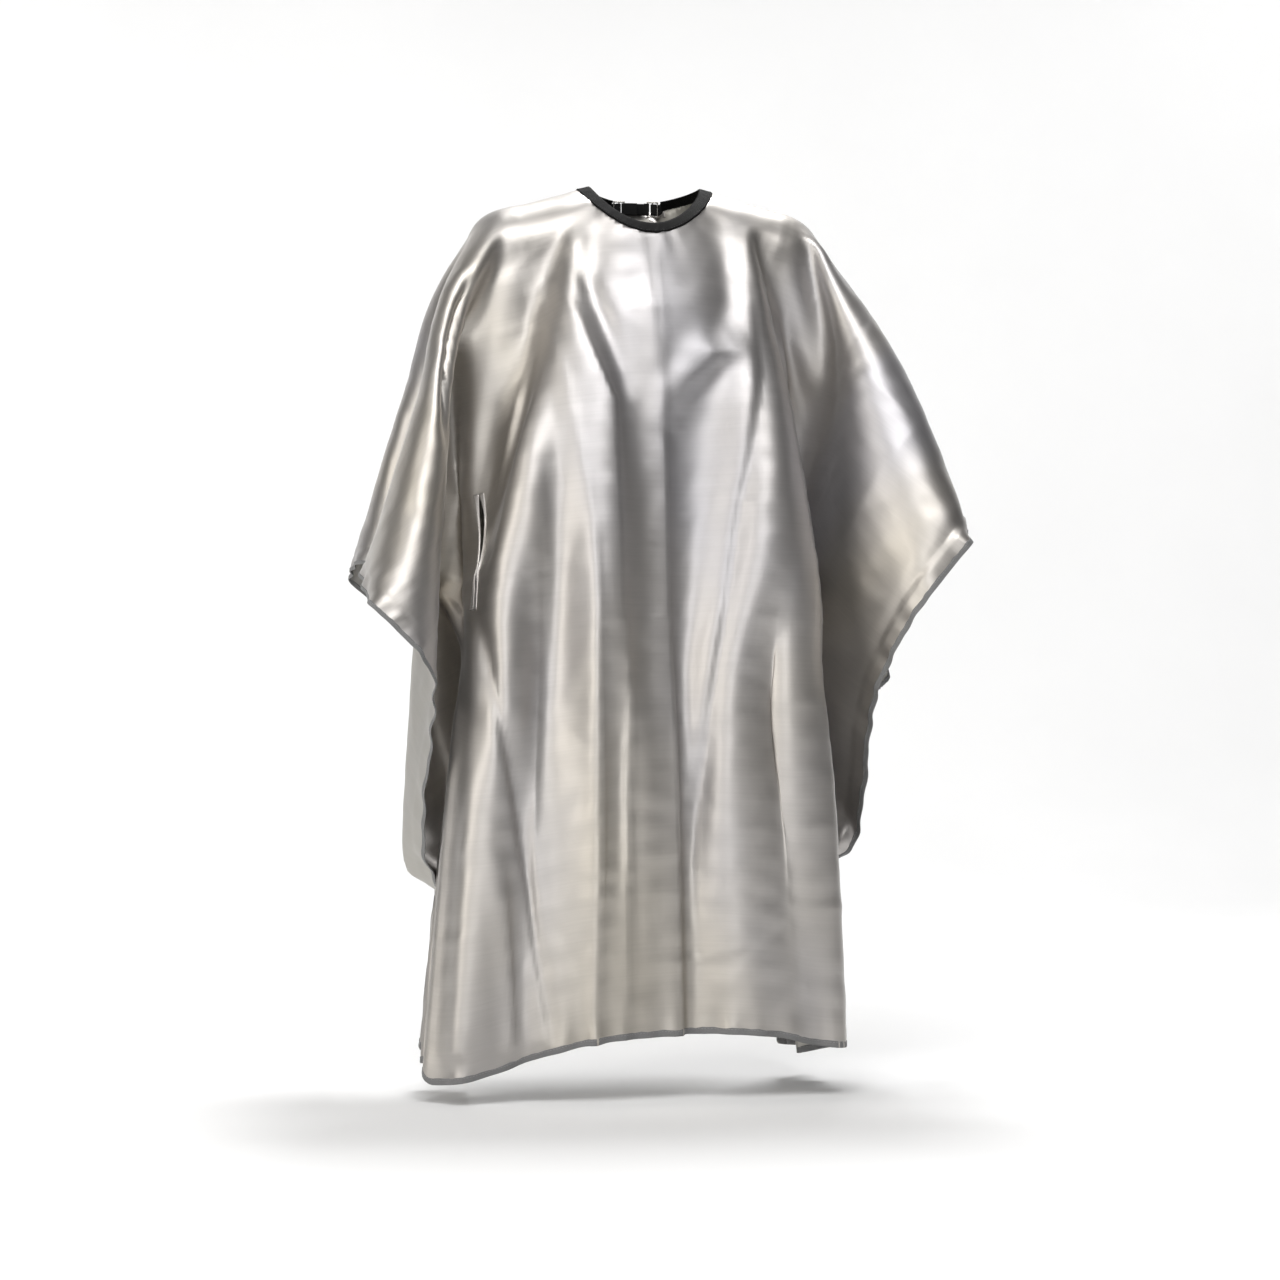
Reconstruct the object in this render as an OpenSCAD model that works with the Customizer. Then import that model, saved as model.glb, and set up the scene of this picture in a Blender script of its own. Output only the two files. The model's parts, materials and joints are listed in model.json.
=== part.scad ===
// Barber cape: one sheet of cloth hung from a neck ring, closed at the nape by a strap
// between two metal slides. Millimetres. The wearer faces -Y and Z points up.
// The origin is the middle of the neck opening, level with the tops of the shoulders.

/* [Cloth cut] */
// Width of the flat cloth, from side hem to side hem
cut_w = 1340; // [1300:10:1400]
// Flat distance from the neck's middle to the front hem
cut_front = 1055; // [1040:5:1110]
// Flat distance from the neck's middle to the back hem
cut_back = 620; // [560:5:660]
// How much lower the front corners hang than the middle, as a share of the front length
front_corner_drop = 0.085; // [0.06:0.005:0.1]
// How much lower the back corners hang than the middle, as a share of the back length
back_corner_drop = 0.27; // [0.2:0.01:0.3]
// Thickness of the cloth shell, its fine wrinkles included
cloth_t = 3; // [2.5:0.1:3.5]
// How far each back edge passes the middle of the back, as an angle seen from above
lap_angle = 11; // [8:1:14]

/* [Neck] */
// Half of the neck opening's width, side to side
neck_half_w = 69; // [66:1:74]
// Half of the neck opening's depth, front to back
neck_half_d = 66; // [64:1:68]
// Height of the neck edge at the sides of the neck
neck_side_z = 30; // [26:1:34]
// Drop of the neck edge from the side to the throat
throat_drop = 52; // [46:1:56]
// Drop of the neck edge from the side to the nape
nape_drop = 10; // [8:1:12]
// Width of the black neck binding
neck_tape_w = 17; // [15:0.5:18]
// Thickness of the neck binding, folded over the cloth
neck_tape_t = 3.6; // [3.2:0.1:3.8]
// Angle either side of the nape where the binding stops and the strap takes over
nape_gap = 27; // [26:1:28]

/* [Drape] */
// Drop angle of the cloth at the neck edge, at the sides
shoulder_pitch = 14; // [12:1:16]
// Drop angle of the cloth at the neck edge, at the throat
chest_pitch = 50; // [46:1:54]
// Distance along the cloth from the neck edge to the start of the shoulder's bend
shoulder_run = 95; // [85:5:105]
// Distance along the cloth that the bend takes
bend_run = 90; // [80:5:100]
// Outward lean of the hanging cloth from the vertical, front and back
front_lean = 6; // [4:0.5:7]
// Extra outward lean toward the sides
flank_lean = 4.5; // [3:0.5:6]
// Further outward lean where the cloth lies over the arms
wing_lean = 10; // [8:0.5:12]
// Depth of the hanging folds at the hem
fold_depth = 15; // [8:1:18]
// Number of hanging folds round the cape
fold_count = 16; // [12:1:20]

/* [Hem and hand slits] */
// Width of the grey hem binding
hem_tape_w = 9; // [8:0.5:11]
// Thickness of the hem binding, folded over the cloth
hem_tape_t = 3.6; // [3.2:0.1:3.8]
// Diameter of the sewing thread lines
thread_d = 0.8; // [0.7:0.1:1]
// Angle of the hand slits from the front, seen on the flat cloth
slit_angle = 42; // [38:1:46]
// Half of a slit's opening, as an angle seen on the flat cloth
slit_half_angle = 1.4; // [1:0.1:1.8]
// Width of the folded welt beside each slit, as a share of one front cell of the cloth
welt_share = 0.5; // [0.3:0.05:0.8]
// Thickness of the folded welt
welt_t = 1.2; // [1:0.1:1.6]

/* [Closure] */
// Distance from the nape to each slide's outer bar
outer_bar_x = 28; // [27:0.5:29]
// Distance between neighbouring bars of a slide
bar_pitch = 6.5; // [6.5:0.1:6.8]
// Diameter of a slide's wire
wire_d = 2; // [1.8:0.1:2]
// Height between the middles of a slide's top and bottom wires
slide_h = 18.5; // [18:0.25:19]
// Height of the strap webbing
strap_h = 15; // [14:0.5:15.5]
// Thickness of the strap webbing
strap_t = 1.1; // [1:0.1:1.2]
// Gap between a bar and the webbing wrapped round it
bar_gap = 0.35; // [0.3:0.05:0.4]
// Distance from the nape to the free end of the strap's tail
tail_end_x = 2; // [0:1:4]

/* [Hidden] */
$fn = 32;

satin = "#C9C5BE";
hem_grey = "#77777A";
band_black = "#211F1F";
metal = "#C8C4B8";

seam_gap = 0.1;
hem_gap = 1.3;
welt_low = cloth_t / 2 + 0.5;
corner_soft = 90;
front_corner_a = 32;
back_corner_a = 48;
side_columns = 30;
front_columns = 22;
cloth_rows = 14;
row_power = 1.25;
profile_steps = 60;
slit_first_row = 5;
slit_last_row = 6;
slope_step = 4;
full_turn_s = 520;
fold_start_s = 150;
fold_full_s = 900;
lap_step = 3;
lap_zone = 30;

// Plan angle of each line of cloth at the hem, against its angle on the flat cloth
SPREAD = [[0, 0], [16, 30], [32, 58], [48, 70], [66, 79], [90, 90],
    [112, 103], [130, 119], [150, 146], [180, 180]];

function mix(a, b, t) = a + (b - a) * t;
function ease(t) = let (c = min(max(t, 0), 1)) c * c * (3 - 2 * c);
function unit(v) = v / norm(v);

// Length of the line of cloth that leaves the neck's middle at an angle from the front.
// The folds carry cloth sideways, so the front and back edges hang nearly level.
function soft_min(p, q) = min(p, q) - pow(max(corner_soft - abs(p - q), 0), 2) / corner_soft / 4;
function line_reach(a) = let (
        fold = abs(a) > 180 ? 360 - abs(a) : abs(a),
        level = fold < 90
            ? cut_front * (1 + front_corner_drop * ease(fold / front_corner_a))
            : cut_back * (1 + back_corner_drop * ease((180 - fold) / back_corner_a)),
        side = cut_w / 2 / max(abs(sin(fold)), 0.001))
    soft_min(level, side);

// The neck edge, and the length of cloth from it to the cut edge
function neck_r(a) = 1 / norm([sin(a) / neck_half_w, cos(a) / neck_half_d]);
function neck_z(a) = neck_side_z - throat_drop * pow(max(cos(a), 0), 1.5)
    - nape_drop * pow(max(-cos(a), 0), 2);
function hem_s(a) = line_reach(a) - neck_r(a);

// Drop angle of the cloth below the horizontal, at a distance s from the neck edge
function pitch(a, s) = let (
        side = pow(abs(sin(a)), 4),
        start = mix(chest_pitch, shoulder_pitch, pow(sin(a), 2)),
        finish = 90 - front_lean - flank_lean * pow(sin(a), 2)
            - wing_lean * pow(abs(sin(a)), 12),
        from = mix(20, shoulder_run, side))
    mix(start, finish, ease((s - from) / bend_run));

function hem_plan(a) = abs(a) > 180 ? a : sign(a) * lookup(abs(a), SPREAD);
function plan_at(a, s) = mix(a, hem_plan(a), ease(s / full_turn_s));

// Radius and height along one line of cloth, as [s, r, z] at even steps
function profile(a) = let (step = (hem_s(a) + slope_step) / profile_steps) [
    for (k = 0, s = 0, r = neck_r(a), z = neck_z(a); k <= profile_steps;
        p = pitch(plan_at(a, s), s + step / 2), r = r + step * cos(p), z = z - step * sin(p),
        s = s + step, k = k + 1) [s, r, z]];

// Lines of cloth: the middle run is the front, between the two hand slits
COLS = concat(
    [for (k = [0 : side_columns])
        mix(-180 - lap_angle, -slit_angle - slit_half_angle, k / side_columns)],
    [for (k = [0 : front_columns])
        mix(-slit_angle + slit_half_angle, slit_angle - slit_half_angle, k / front_columns)],
    [for (k = [0 : side_columns])
        mix(slit_angle + slit_half_angle, 180 + lap_angle, k / side_columns)]);
last_col = len(COLS) - 1;
SLIT_COLS = [side_columns, side_columns + front_columns + 1];
PROFILES = [for (a = COLS) profile(a)];
RADII = [for (p = PROFILES) [for (q = p) [q[0], q[1]]]];
HEIGHTS = [for (p = PROFILES) [for (q = p) [q[0], q[2]]]];

// A point of the cloth's middle surface, on line i at a distance s from the neck edge
function lap_shift(a) = sign(a) * lap_step * ease((abs(a) - 180 + lap_zone) / lap_zone);
function fold_shift(a, s) = fold_depth * ease((s - fold_start_s) / (fold_full_s - fold_start_s))
    * cos(fold_count * a) * (abs(a) > 150 ? 0.4 : 1);
function place(i, s) = let (
        a = COLS[i],
        turn = plan_at(a, s),
        r = lookup(s, RADII[i]) + fold_shift(a, s) + lap_shift(a))
    [r * sin(turn), -r * cos(turn), lookup(s, HEIGHTS[i])];
function outward(i, s) = let (
        across = place(min(i + 1, last_col), s) - place(max(i - 1, 0), s),
        down = place(i, s + slope_step) - place(i, max(s - slope_step, 0)))
    unit(cross(down, across));
function skin(i, s, off) = place(i, s) + outward(i, s) * off;

// Closed shell between two offsets of the cloth surface, over lines i0 to i1, with
// row j of line i at the distance S[i - i0][j]. Cells in HOLES, as [i, j], stay open.
module shell(i0, i1, S, low, high, HOLES = []) {
    n = i1 - i0;
    m = len(S[0]) - 1;
    count = (n + 1) * (m + 1);
    function id(i, j, side) = side * count + i * (m + 1) + j;
    function filled(i, j) = i >= 0 && i < n && j >= 0 && j < m
        && len([for (h = HOLES) if (h[0] - i0 == i && h[1] == j) h]) == 0;
    points = concat(
        [for (i = [0 : n]) for (j = [0 : m]) skin(i0 + i, S[i][j], high)],
        [for (i = [0 : n]) for (j = [0 : m]) skin(i0 + i, S[i][j], low)]);
    quads = [for (i = [0 : n - 1]) for (j = [0 : m - 1]) if (filled(i, j)) each [
        [id(i, j, 0), id(i, j + 1, 0), id(i + 1, j + 1, 0), id(i + 1, j, 0)],
        [id(i, j, 1), id(i + 1, j, 1), id(i + 1, j + 1, 1), id(i, j + 1, 1)],
        if (!filled(i - 1, j)) [id(i, j, 1), id(i, j + 1, 1), id(i, j + 1, 0), id(i, j, 0)],
        if (!filled(i + 1, j))
            [id(i + 1, j, 0), id(i + 1, j + 1, 0), id(i + 1, j + 1, 1), id(i + 1, j, 1)],
        if (!filled(i, j - 1)) [id(i, j, 0), id(i + 1, j, 0), id(i + 1, j, 1), id(i, j, 1)],
        if (!filled(i, j + 1))
            [id(i, j + 1, 1), id(i + 1, j + 1, 1), id(i + 1, j + 1, 0), id(i, j + 1, 0)]]];
    triangles = [for (q = quads) each [[q[0], q[2], q[1]], [q[0], q[3], q[2]]]];
    polyhedron(points, triangles);
}

function rows_between(i0, i1, first, last, n, power = 1) =
    [for (i = [i0 : i1]) [for (j = [0 : n]) mix(first(i), last(i), pow(j / n, power))]];

cloth_start = function(i) neck_tape_w + seam_gap;
cloth_end = function(i) hem_s(COLS[i]) - hem_tape_w - hem_gap;
CLOTH_ROWS = rows_between(0, last_col, cloth_start, cloth_end, cloth_rows, row_power);
SLIT_CELLS = [for (i = SLIT_COLS) for (j = [slit_first_row : slit_last_row]) [i, j]];

// The lines of cloth that the neck binding covers
function first_line_past(a) = [for (i = [0 : last_col]) if (COLS[i] >= a) i][0];
band_first = first_line_past(-180 + nape_gap);
band_last = first_line_past(180 - nape_gap) - 1;

module cape_cloth() {
    color(satin) shell(0, last_col, CLOTH_ROWS, -cloth_t / 2, cloth_t / 2, SLIT_CELLS);
}

module neck_binding() {
    start = function(i) 0;
    end = function(i) neck_tape_w;
    color(band_black)
        shell(band_first, band_last, rows_between(band_first, band_last, start, end, 2),
            -neck_tape_t / 2, neck_tape_t / 2);
}

module hem_binding() {
    start = function(i) hem_s(COLS[i]) - hem_tape_w;
    end = function(i) hem_s(COLS[i]);
    color(hem_grey)
        shell(0, last_col, rows_between(0, last_col, start, end, 1),
            -hem_tape_t / 2, hem_tape_t / 2);
}

// A line of thread on the outside of a tape, at a distance from the neck edge
module thread_line(i0, i1, middle, tape_t) {
    start = function(i) middle(i) - thread_d / 2;
    end = function(i) middle(i) + thread_d / 2;
    shell(i0, i1, rows_between(i0, i1, start, end, 1),
        tape_t / 2 + seam_gap, tape_t / 2 + seam_gap + thread_d);
}

module neck_stitching() {
    line = function(i) neck_tape_w - 2;
    color("#2B2929") thread_line(band_first, band_last, line, neck_tape_t);
}

module hem_stitching() {
    line = function(i) hem_s(COLS[i]) - hem_tape_w + 1.5;
    color("#8A8A8D") thread_line(0, last_col, line, hem_tape_t);
}

// A folded strip of the cape's own cloth down the front edge of a hand slit. It lies on
// the cells beside the slit: edge is the line on the slit, and inner the next line.
module slit_welt(edge, inner) {
    rows = [slit_first_row : slit_last_row + 1];
    count = 4 * len([for (j = rows) j]);
    function at(i, j, off) = skin(i, CLOTH_ROWS[i][j], off);
    function over(j, f, off) = at(edge, j, off) * (1 - f) + at(inner, j, off) * f;
    points = [for (j = rows) each [over(j, 0, welt_low), over(j, welt_share, welt_low),
        over(j, welt_share, welt_low + welt_t), over(j, 0, welt_low + welt_t)]];
    sides = [for (k = [0 : 4 : count - 8]) for (e = [0 : 3]) let (n = (e + 1) % 4) each
        [[k + e, k + n, k + 4 + n], [k + e, k + 4 + n, k + 4 + e]]];
    ends = [[2, 1, 0], [3, 2, 0], [count - 4, count - 3, count - 2],
        [count - 4, count - 2, count - 1]];
    faces = concat(sides, ends);
    color("#D6D2CA")
        polyhedron(points, edge < inner ? faces : [for (f = faces) [f[2], f[1], f[0]]]);
}
module slit_welt_left() { slit_welt(SLIT_COLS[0] + 1, SLIT_COLS[0] + 2); }
module slit_welt_right() { slit_welt(SLIT_COLS[1], SLIT_COLS[1] - 1); }

// The closure, in its own frame: the middle of the strap at the nape, X along the strap
closure_y = neck_half_d + 1;
closure_z = neck_side_z - nape_drop - 7;
wire_r = wire_d / 2;
centre_bar_x = outer_bar_x - bar_pitch;
inner_bar_x = centre_bar_x - bar_pitch;
wrap_in_r = wire_r + bar_gap;
wrap_out_r = wrap_in_r + strap_t;
tail_in_r = wrap_out_r + 0.15;
tail_out_r = tail_in_r + strap_t - 0.2;
tab_h = 14;
patch_split = -0.65;
patch_gap = 0.15;

module at_closure() { translate([0, closure_y, closure_z]) children(); }
module upright(x, r, h) { translate([x, 0, 0]) cylinder(r = r, h = h, center = true); }

// Three bars between a top and a bottom wire, side is -1 on the left and 1 on the right
module slide(side) {
    color(metal) at_closure() union() {
        for (x = [outer_bar_x, centre_bar_x, inner_bar_x])
            upright(side * x, wire_r, slide_h);
        for (z = [-slide_h / 2, slide_h / 2]) {
            translate([side * centre_bar_x, 0, z]) rotate([0, 90, 0])
                cylinder(r = wire_r, h = 2 * bar_pitch, center = true);
            for (x = [outer_bar_x, inner_bar_x])
                translate([side * x, 0, z]) sphere(r = wire_r);
        }
    }
}
module slide_left() { slide(-1); }
module slide_right() { slide(1); }

// A webbing sleeve round a bar
module wrap(x, h) {
    difference() {
        upright(x, wrap_out_r, h);
        upright(x, wrap_in_r, h + 1);
    }
}

// A tab of webbing from the end of the neck binding, sewn round the slide's centre bar
module tab(side) {
    flat_len = outer_bar_x - centre_bar_x + 4;
    band_i = side < 0 ? band_first : band_last;
    color(band_black) {
        at_closure() {
            wrap(side * centre_bar_x, tab_h);
            translate([min(side * centre_bar_x, side * (centre_bar_x + flat_len)), wrap_in_r,
                -tab_h / 2]) cube([flat_len, strap_t, tab_h]);
        }
        hull() {
            at_closure() translate([side * (centre_bar_x + flat_len), wrap_in_r + strap_t / 2, 0])
                cube([1, strap_t, tab_h], center = true);
            for (s = [1.5, neck_tape_w - 1.5])
                translate(skin(band_i + (side < 0 ? 1 : -1), s, 0)) sphere(r = 0.7, $fn = 16);
        }
    }
}
module tab_left() { tab(-1); }
module tab_right() { tab(1); }

// A bar tack: a short block of thread across the webbing
module tack(x, y) {
    color("#2F2D2D") at_closure() translate([x, y, 0]) cube([1.6, 0.5, 11], center = true);
}
tack_y = wrap_out_r + 0.3;
module tack_left() { tack(-centre_bar_x - 3.6, tack_y); }
module tack_right() { tack(centre_bar_x + 3.6, tack_y); }
module strap_tack() { tack(inner_bar_x - 4, tack_y); }

// The strap's outer layer, with a sleeve round each slide's inner bar
module strap() {
    color("#141414") at_closure() {
        wrap(-inner_bar_x, strap_h);
        wrap(inner_bar_x, strap_h);
        translate([-inner_bar_x, wrap_in_r, -strap_h / 2])
            cube([2 * inner_bar_x, strap_t, strap_h]);
    }
}

// The loop half of the fastener, under the strap, and the hook half on the tail
module patch(x0, x1, y0, y1, shade) {
    patch_h = strap_h - 2;
    color(shade) at_closure() translate([x0, y0, -patch_h / 2])
        cube([x1 - x0, y1 - y0, patch_h]);
}
patch_start_x = -inner_bar_x + tail_out_r + 0.4;
module loop_patch() {
    patch(patch_start_x, inner_bar_x - wrap_out_r - 1, patch_split + patch_gap,
        wrap_in_r, "#1B1B1C");
}
module hook_patch() {
    patch(patch_start_x, tail_end_x - 1, -tail_in_r, patch_split, "#242425");
}

// The tail: the strap's free end, turned back round the left slide's inner bar
module strap_tail() {
    reach = 2 * tail_out_r;
    color("#141414") at_closure() {
        translate([-inner_bar_x, -tail_out_r, -strap_h / 2])
            cube([tail_end_x + inner_bar_x, tail_out_r - tail_in_r, strap_h]);
        intersection() {
            difference() {
                upright(-inner_bar_x, tail_out_r, strap_h);
                upright(-inner_bar_x, tail_in_r, strap_h + 1);
            }
            translate([-inner_bar_x - reach, -reach, -strap_h / 2])
                cube([reach, reach - 0.4, strap_h]);
        }
    }
}

cape_cloth();
neck_binding();
hem_binding();
neck_stitching();
hem_stitching();
slit_welt_left();
slit_welt_right();
tab_left();
tab_right();
tack_left();
tack_right();
slide_left();
slide_right();
strap();
loop_patch();
strap_tail();
hook_patch();
strap_tack();
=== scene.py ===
"""A barber cape hung as if worn: satin cloth, bound edges, hand slits and a nape strap.

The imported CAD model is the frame. The cloth is cut flat here and draped by a small
position-based cloth solver in numpy, then dressed with tapes, stitches and creases.
Everything is in metres. On the flat cloth x runs across, and y from the front hem
(negative) through the neck (0) to the back hem.
"""
import json
import math

import bpy
import numpy as np
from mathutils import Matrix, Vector

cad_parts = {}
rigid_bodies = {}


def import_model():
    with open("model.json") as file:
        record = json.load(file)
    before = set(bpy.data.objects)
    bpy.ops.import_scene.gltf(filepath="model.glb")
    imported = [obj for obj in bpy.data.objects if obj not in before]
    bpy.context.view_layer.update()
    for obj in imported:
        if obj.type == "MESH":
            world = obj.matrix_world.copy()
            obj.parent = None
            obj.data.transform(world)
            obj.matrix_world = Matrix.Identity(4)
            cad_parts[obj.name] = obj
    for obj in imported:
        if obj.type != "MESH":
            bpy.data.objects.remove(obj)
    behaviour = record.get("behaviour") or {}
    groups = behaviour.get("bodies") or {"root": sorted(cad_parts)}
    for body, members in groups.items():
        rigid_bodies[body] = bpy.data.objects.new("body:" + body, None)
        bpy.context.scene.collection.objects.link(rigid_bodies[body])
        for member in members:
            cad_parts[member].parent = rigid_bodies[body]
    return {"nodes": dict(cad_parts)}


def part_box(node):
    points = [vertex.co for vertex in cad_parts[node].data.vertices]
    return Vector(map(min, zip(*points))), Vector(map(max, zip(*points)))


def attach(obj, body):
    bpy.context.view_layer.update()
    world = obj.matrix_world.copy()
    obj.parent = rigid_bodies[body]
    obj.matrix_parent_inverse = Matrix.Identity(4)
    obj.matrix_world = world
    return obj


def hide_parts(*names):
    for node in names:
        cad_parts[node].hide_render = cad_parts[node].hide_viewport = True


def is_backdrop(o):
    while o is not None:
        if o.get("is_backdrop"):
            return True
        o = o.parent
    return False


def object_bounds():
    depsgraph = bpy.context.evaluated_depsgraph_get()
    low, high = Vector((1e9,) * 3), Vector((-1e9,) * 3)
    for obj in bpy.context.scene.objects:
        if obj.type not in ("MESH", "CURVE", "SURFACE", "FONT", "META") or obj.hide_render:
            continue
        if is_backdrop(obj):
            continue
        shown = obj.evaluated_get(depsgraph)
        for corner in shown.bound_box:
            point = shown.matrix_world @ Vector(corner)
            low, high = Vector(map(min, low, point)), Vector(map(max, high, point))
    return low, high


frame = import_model()
CAD_LOW, CAD_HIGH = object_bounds()
F4 = np.float32
# The random phases of the noise run up to this
PHASES = 6.28

# ---------------------------------------------------------------- the cut
CUT_HALF_W = 0.67
CUT_FRONT = 1.055
CUT_BACK = 0.62
CORNER_R = 0.14
SEAM_HALF_W = 0.082
SEAM_HALF_D = 0.079
LAP = 0.030
CLOTH_T = 0.0005

# The neck edge and the slope of the shoulders, as part.scad has them
NECK_HALF_W = 0.069
NECK_HALF_D = 0.066
NECK_SIDE_Z = 0.030
THROAT_DROP = 0.052
NAPE_DROP = 0.010
BAND_W = 0.017
BAND_END = math.radians(153)
# Angles from the front on the flat cloth, and where the hung cloth has turned them to
SPREAD_FLAT = [0, 16, 32, 48, 66, 90, 112, 130, 150, 180]
SPREAD_HUNG = [0, 30, 58, 70, 79, 90, 103, 119, 146, 180]
FULL_TURN = 0.52
LAP_STEP = 0.003
# The cloth's slope in degrees from level: at the neck's front and sides, and hanging, with
# what it loses over the shoulders and over the arms. It turns from one to the other over
# TURN_LENGTH, from the first distance at the front and from the second at the sides
SLOPE_AT_NECK = (50, 14)
SLOPE_HUNG, SLOPE_SHOULDER, SLOPE_ARM = 84, 4.5, 10
TURN_FROM, TURN_LENGTH = (0.020, 0.095), 0.090

# The hand slits: their places on the flat cloth, how wide they open, how far the outer lip
# stands over the inner one, and how square the opening's ends are
SLIT_X = 0.285
SLIT_FROM, SLIT_TO = -0.515, -0.365
SLIT_GAP, SLIT_LIFT, SLIT_ROUND = 0.014, 0.0022, 0.8

# Lines where the cape was folded in its packet, as (place, height of the ridge)
CREASES_X = [(0.0, 0.0016), (-0.1675, 0.0009), (0.1675, 0.0010), (-0.335, 0.0009),
             (0.335, -0.0009), (-0.5025, 0.0008), (0.5025, 0.0008)]
CREASES_Y = [(-0.18, 0.0006), (-0.365, -0.0004), (-0.55, 0.0007), (-0.885, 0.0008),
             (0.19, 0.0005), (0.40, -0.0006)]

# How the surplus at the sides of the front hangs: a line across, seen from above, that
# the lower front follows. It turns back on itself behind both edges of the panel.
PANEL_RIGHT = [(0.02, -0.150), (0.13, -0.158), (0.20, -0.140), (0.238, -0.112),
               (0.172, -0.088), (0.236, -0.058), (0.172, -0.030), (0.234, 0.0),
               (0.175, 0.03), (0.23, 0.06), (0.18, 0.09)]
PANEL_LEFT = [(0.02, -0.150), (-0.12, -0.160), (-0.24, -0.142), (-0.293, -0.110),
              (-0.222, -0.086), (-0.288, -0.056), (-0.222, -0.028), (-0.285, 0.0),
              (-0.225, 0.03), (-0.28, 0.06)]
# The folds of the lower front: place across the cloth, depth forward, half width there
FOLDS = [(-0.255, 0.020, 0.030), (-0.185, -0.018, 0.035), (-0.105, 0.016, 0.035),
         (-0.045, 0.010, 0.022), (0.018, -0.014, 0.016), (0.075, 0.012, 0.030),
         (0.140, -0.012, 0.030), (0.200, 0.014, 0.028), (0.252, -0.010, 0.020)]
# How strongly the middle of the front is drawn there: on the first level, and on the others
MIDDLE_PULL = (0.04, 0.30)

# Folds and creases of the hung front, seen from in front, all in mm: half widths to the left
# and right of a line that runs down, and the line's places (x, z) with the height there
FRONT_FOLDS = [
    (24, 8, [(-14, -55, 1.8), (-8, -127, 2.2), (2, -259, 3.2), (4, -307, 7), (5, -535, 9),
     (12, -655, 9), (14, -799, 8), (20, -1003, 6)]),
    (34, 26, [(-184, -49, 0), (-169, -115, 6), (-165, -247, 9), (-156, -487, 10),
     (-154, -727, 10), (-150, -907, 8), (-144, -1009, 6)]),
    (26, 4.5, [(-140, -61, 0), (-95, -145, 3), (-59, -244, 9), (-56, -331, 7), (-53, -487, 5),
     (-41, -607, 5), (-43, -799, 5), (-46, -1009, 4)]),
    (13, 4, [(-149, -7, 1), (-140, -79, 1.2), (-131, -139, 1.5), (-111, -235, 1.2),
     (-89, -367, 1.5), (-81, -487, 4), (-80, -799, 4.5), (-83, -1009, 4)]),
    (50, 55, [(123, -169, 0), (127, -247, 8), (135, -367, 13), (144, -607, 17),
     (148, -787, 15), (154, -1015, 11)]),
    (6, 22, [(114, -7, 0.8), (122, -141, -2.5), (123, -211, -5), (108, -307, -5),
     (95, -367, -5), (75, -487, -6), (53, -607, -6), (38, -727, -5), (22, -883, 0)]),
    (16, 14, [(-228, -475, 0), (-230, -559, 5), (-233, -727, 6), (-240, -847, 6),
     (-250, -1021, 5)]),
    (5, 12, [(-225, -493, -1), (-217, -535, -3), (-205, -607, -4), (-190, -679, -4),
     (-174, -787, -4), (-162, -847, -3.5), (-144, -943, -3), (-134, -1009, -2)]),
    (12, 9, [(-201, -775, 0), (-196, -847, 4), (-189, -943, 5), (-184, -1015, 4)]),
    (26, 15, [(114, -172, 0), (93, -181, 5), (63, -189, 8), (32, -220, 8), (10, -256, 5),
     (3, -283, 0)]),
    (10, 14, [(156, -55, 0), (154, -127, 4), (166, -247, 6), (176, -391, 6), (184, -535, 5),
     (193, -679, 5), (202, -847, 5), (212, -1027, 5)]),
    (22, 9, [(-222, -30, 0), (-229, -90, -14), (-236, -200, -24), (-241, -307, -26),
     (-247, -450, -22), (-250, -600, -10), (-252, -700, 0)]),
    (13, 13, [(-118, -37, 0), (-89, -91, -3), (-71, -139, -5), (-50, -199, -4),
     (-38, -247, 0)]),
]

# The stand that the cape hangs on in the solver only: capsules and ellipsoids
CAPSULES = [((-0.168, 0, -0.055), (-0.05, 0, -0.028), 0.052, 0.052),
            ((0.05, 0, -0.028), (0.168, 0, -0.055), 0.052, 0.052),
            ((-0.168, 0, -0.056), (-0.232, -0.02, -0.36), 0.050, 0.036),
            ((0.168, 0, -0.056), (0.300, 0.02, -0.36), 0.050, 0.036)]
ELLIPSOIDS = [((0, -0.004, -0.20), (0.170, 0.118, 0.185)),
              ((0, 0, -0.48), (0.150, 0.105, 0.34))]

# Solver levels: cell, steps, first and last fall per step, bending, self-distance
LEVELS = [(0.020, 1500, 3.0e-5, 6.0e-6, 0.25, 0.018),
          (0.010, 700, 4.0e-6, 1.2e-6, 0.20, 0.010),
          (0.005, 90, 6.0e-7, 4.0e-7, 0.10, 0.005)]
# What is left of a point's speed after a step, and its most movement in one, in cells
KEPT_SPEED, MOST_MOVE = 0.985, 0.3
# How strongly a cell's diagonals hold, and the panel's guide on the first level
SHEAR, GUIDE_PULL = 0.3, 0.02
# Steps between searches for near points, and how near they are in self-distances
SEARCH_EVERY, SEARCH_REACH = 40, 1.9
# How deep the stand's skin is, and the share of a touching point's speed it takes
STAND_SKIN, STAND_GRIP = 0.004, 0.25

# After the drape: the shares that the wings are drawn in by, at the left and the right, and
# up; how far the nape's free edge moves back and down; and how deep the front's hem dips at
# the left and the right of its middle, which rises
WING_IN, WING_UP = (0.21, 0.17), 0.15
NAPE_BACK, NAPE_DOWN = 0.0056, 0.0015
HEM_DIP, HEM_RISE = (0.047, 0.026), 0.010


def ease(t):
    c = np.clip(t, 0, 1)
    return c * c * (3 - 2 * c)


def mix(a, b, t):
    return a + (b - a) * t


def neck_radius(a):
    return 1 / np.hypot(np.sin(a) / NECK_HALF_W, np.cos(a) / NECK_HALF_D)


def laid(x, y, side):
    """Where a point of the flat cloth lies on the smooth shape part.scad gives the cape."""
    a = np.arctan2(x, -y)
    return at_neck(a, np.hypot(x, y) - neck_radius(a), side, 60)


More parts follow.
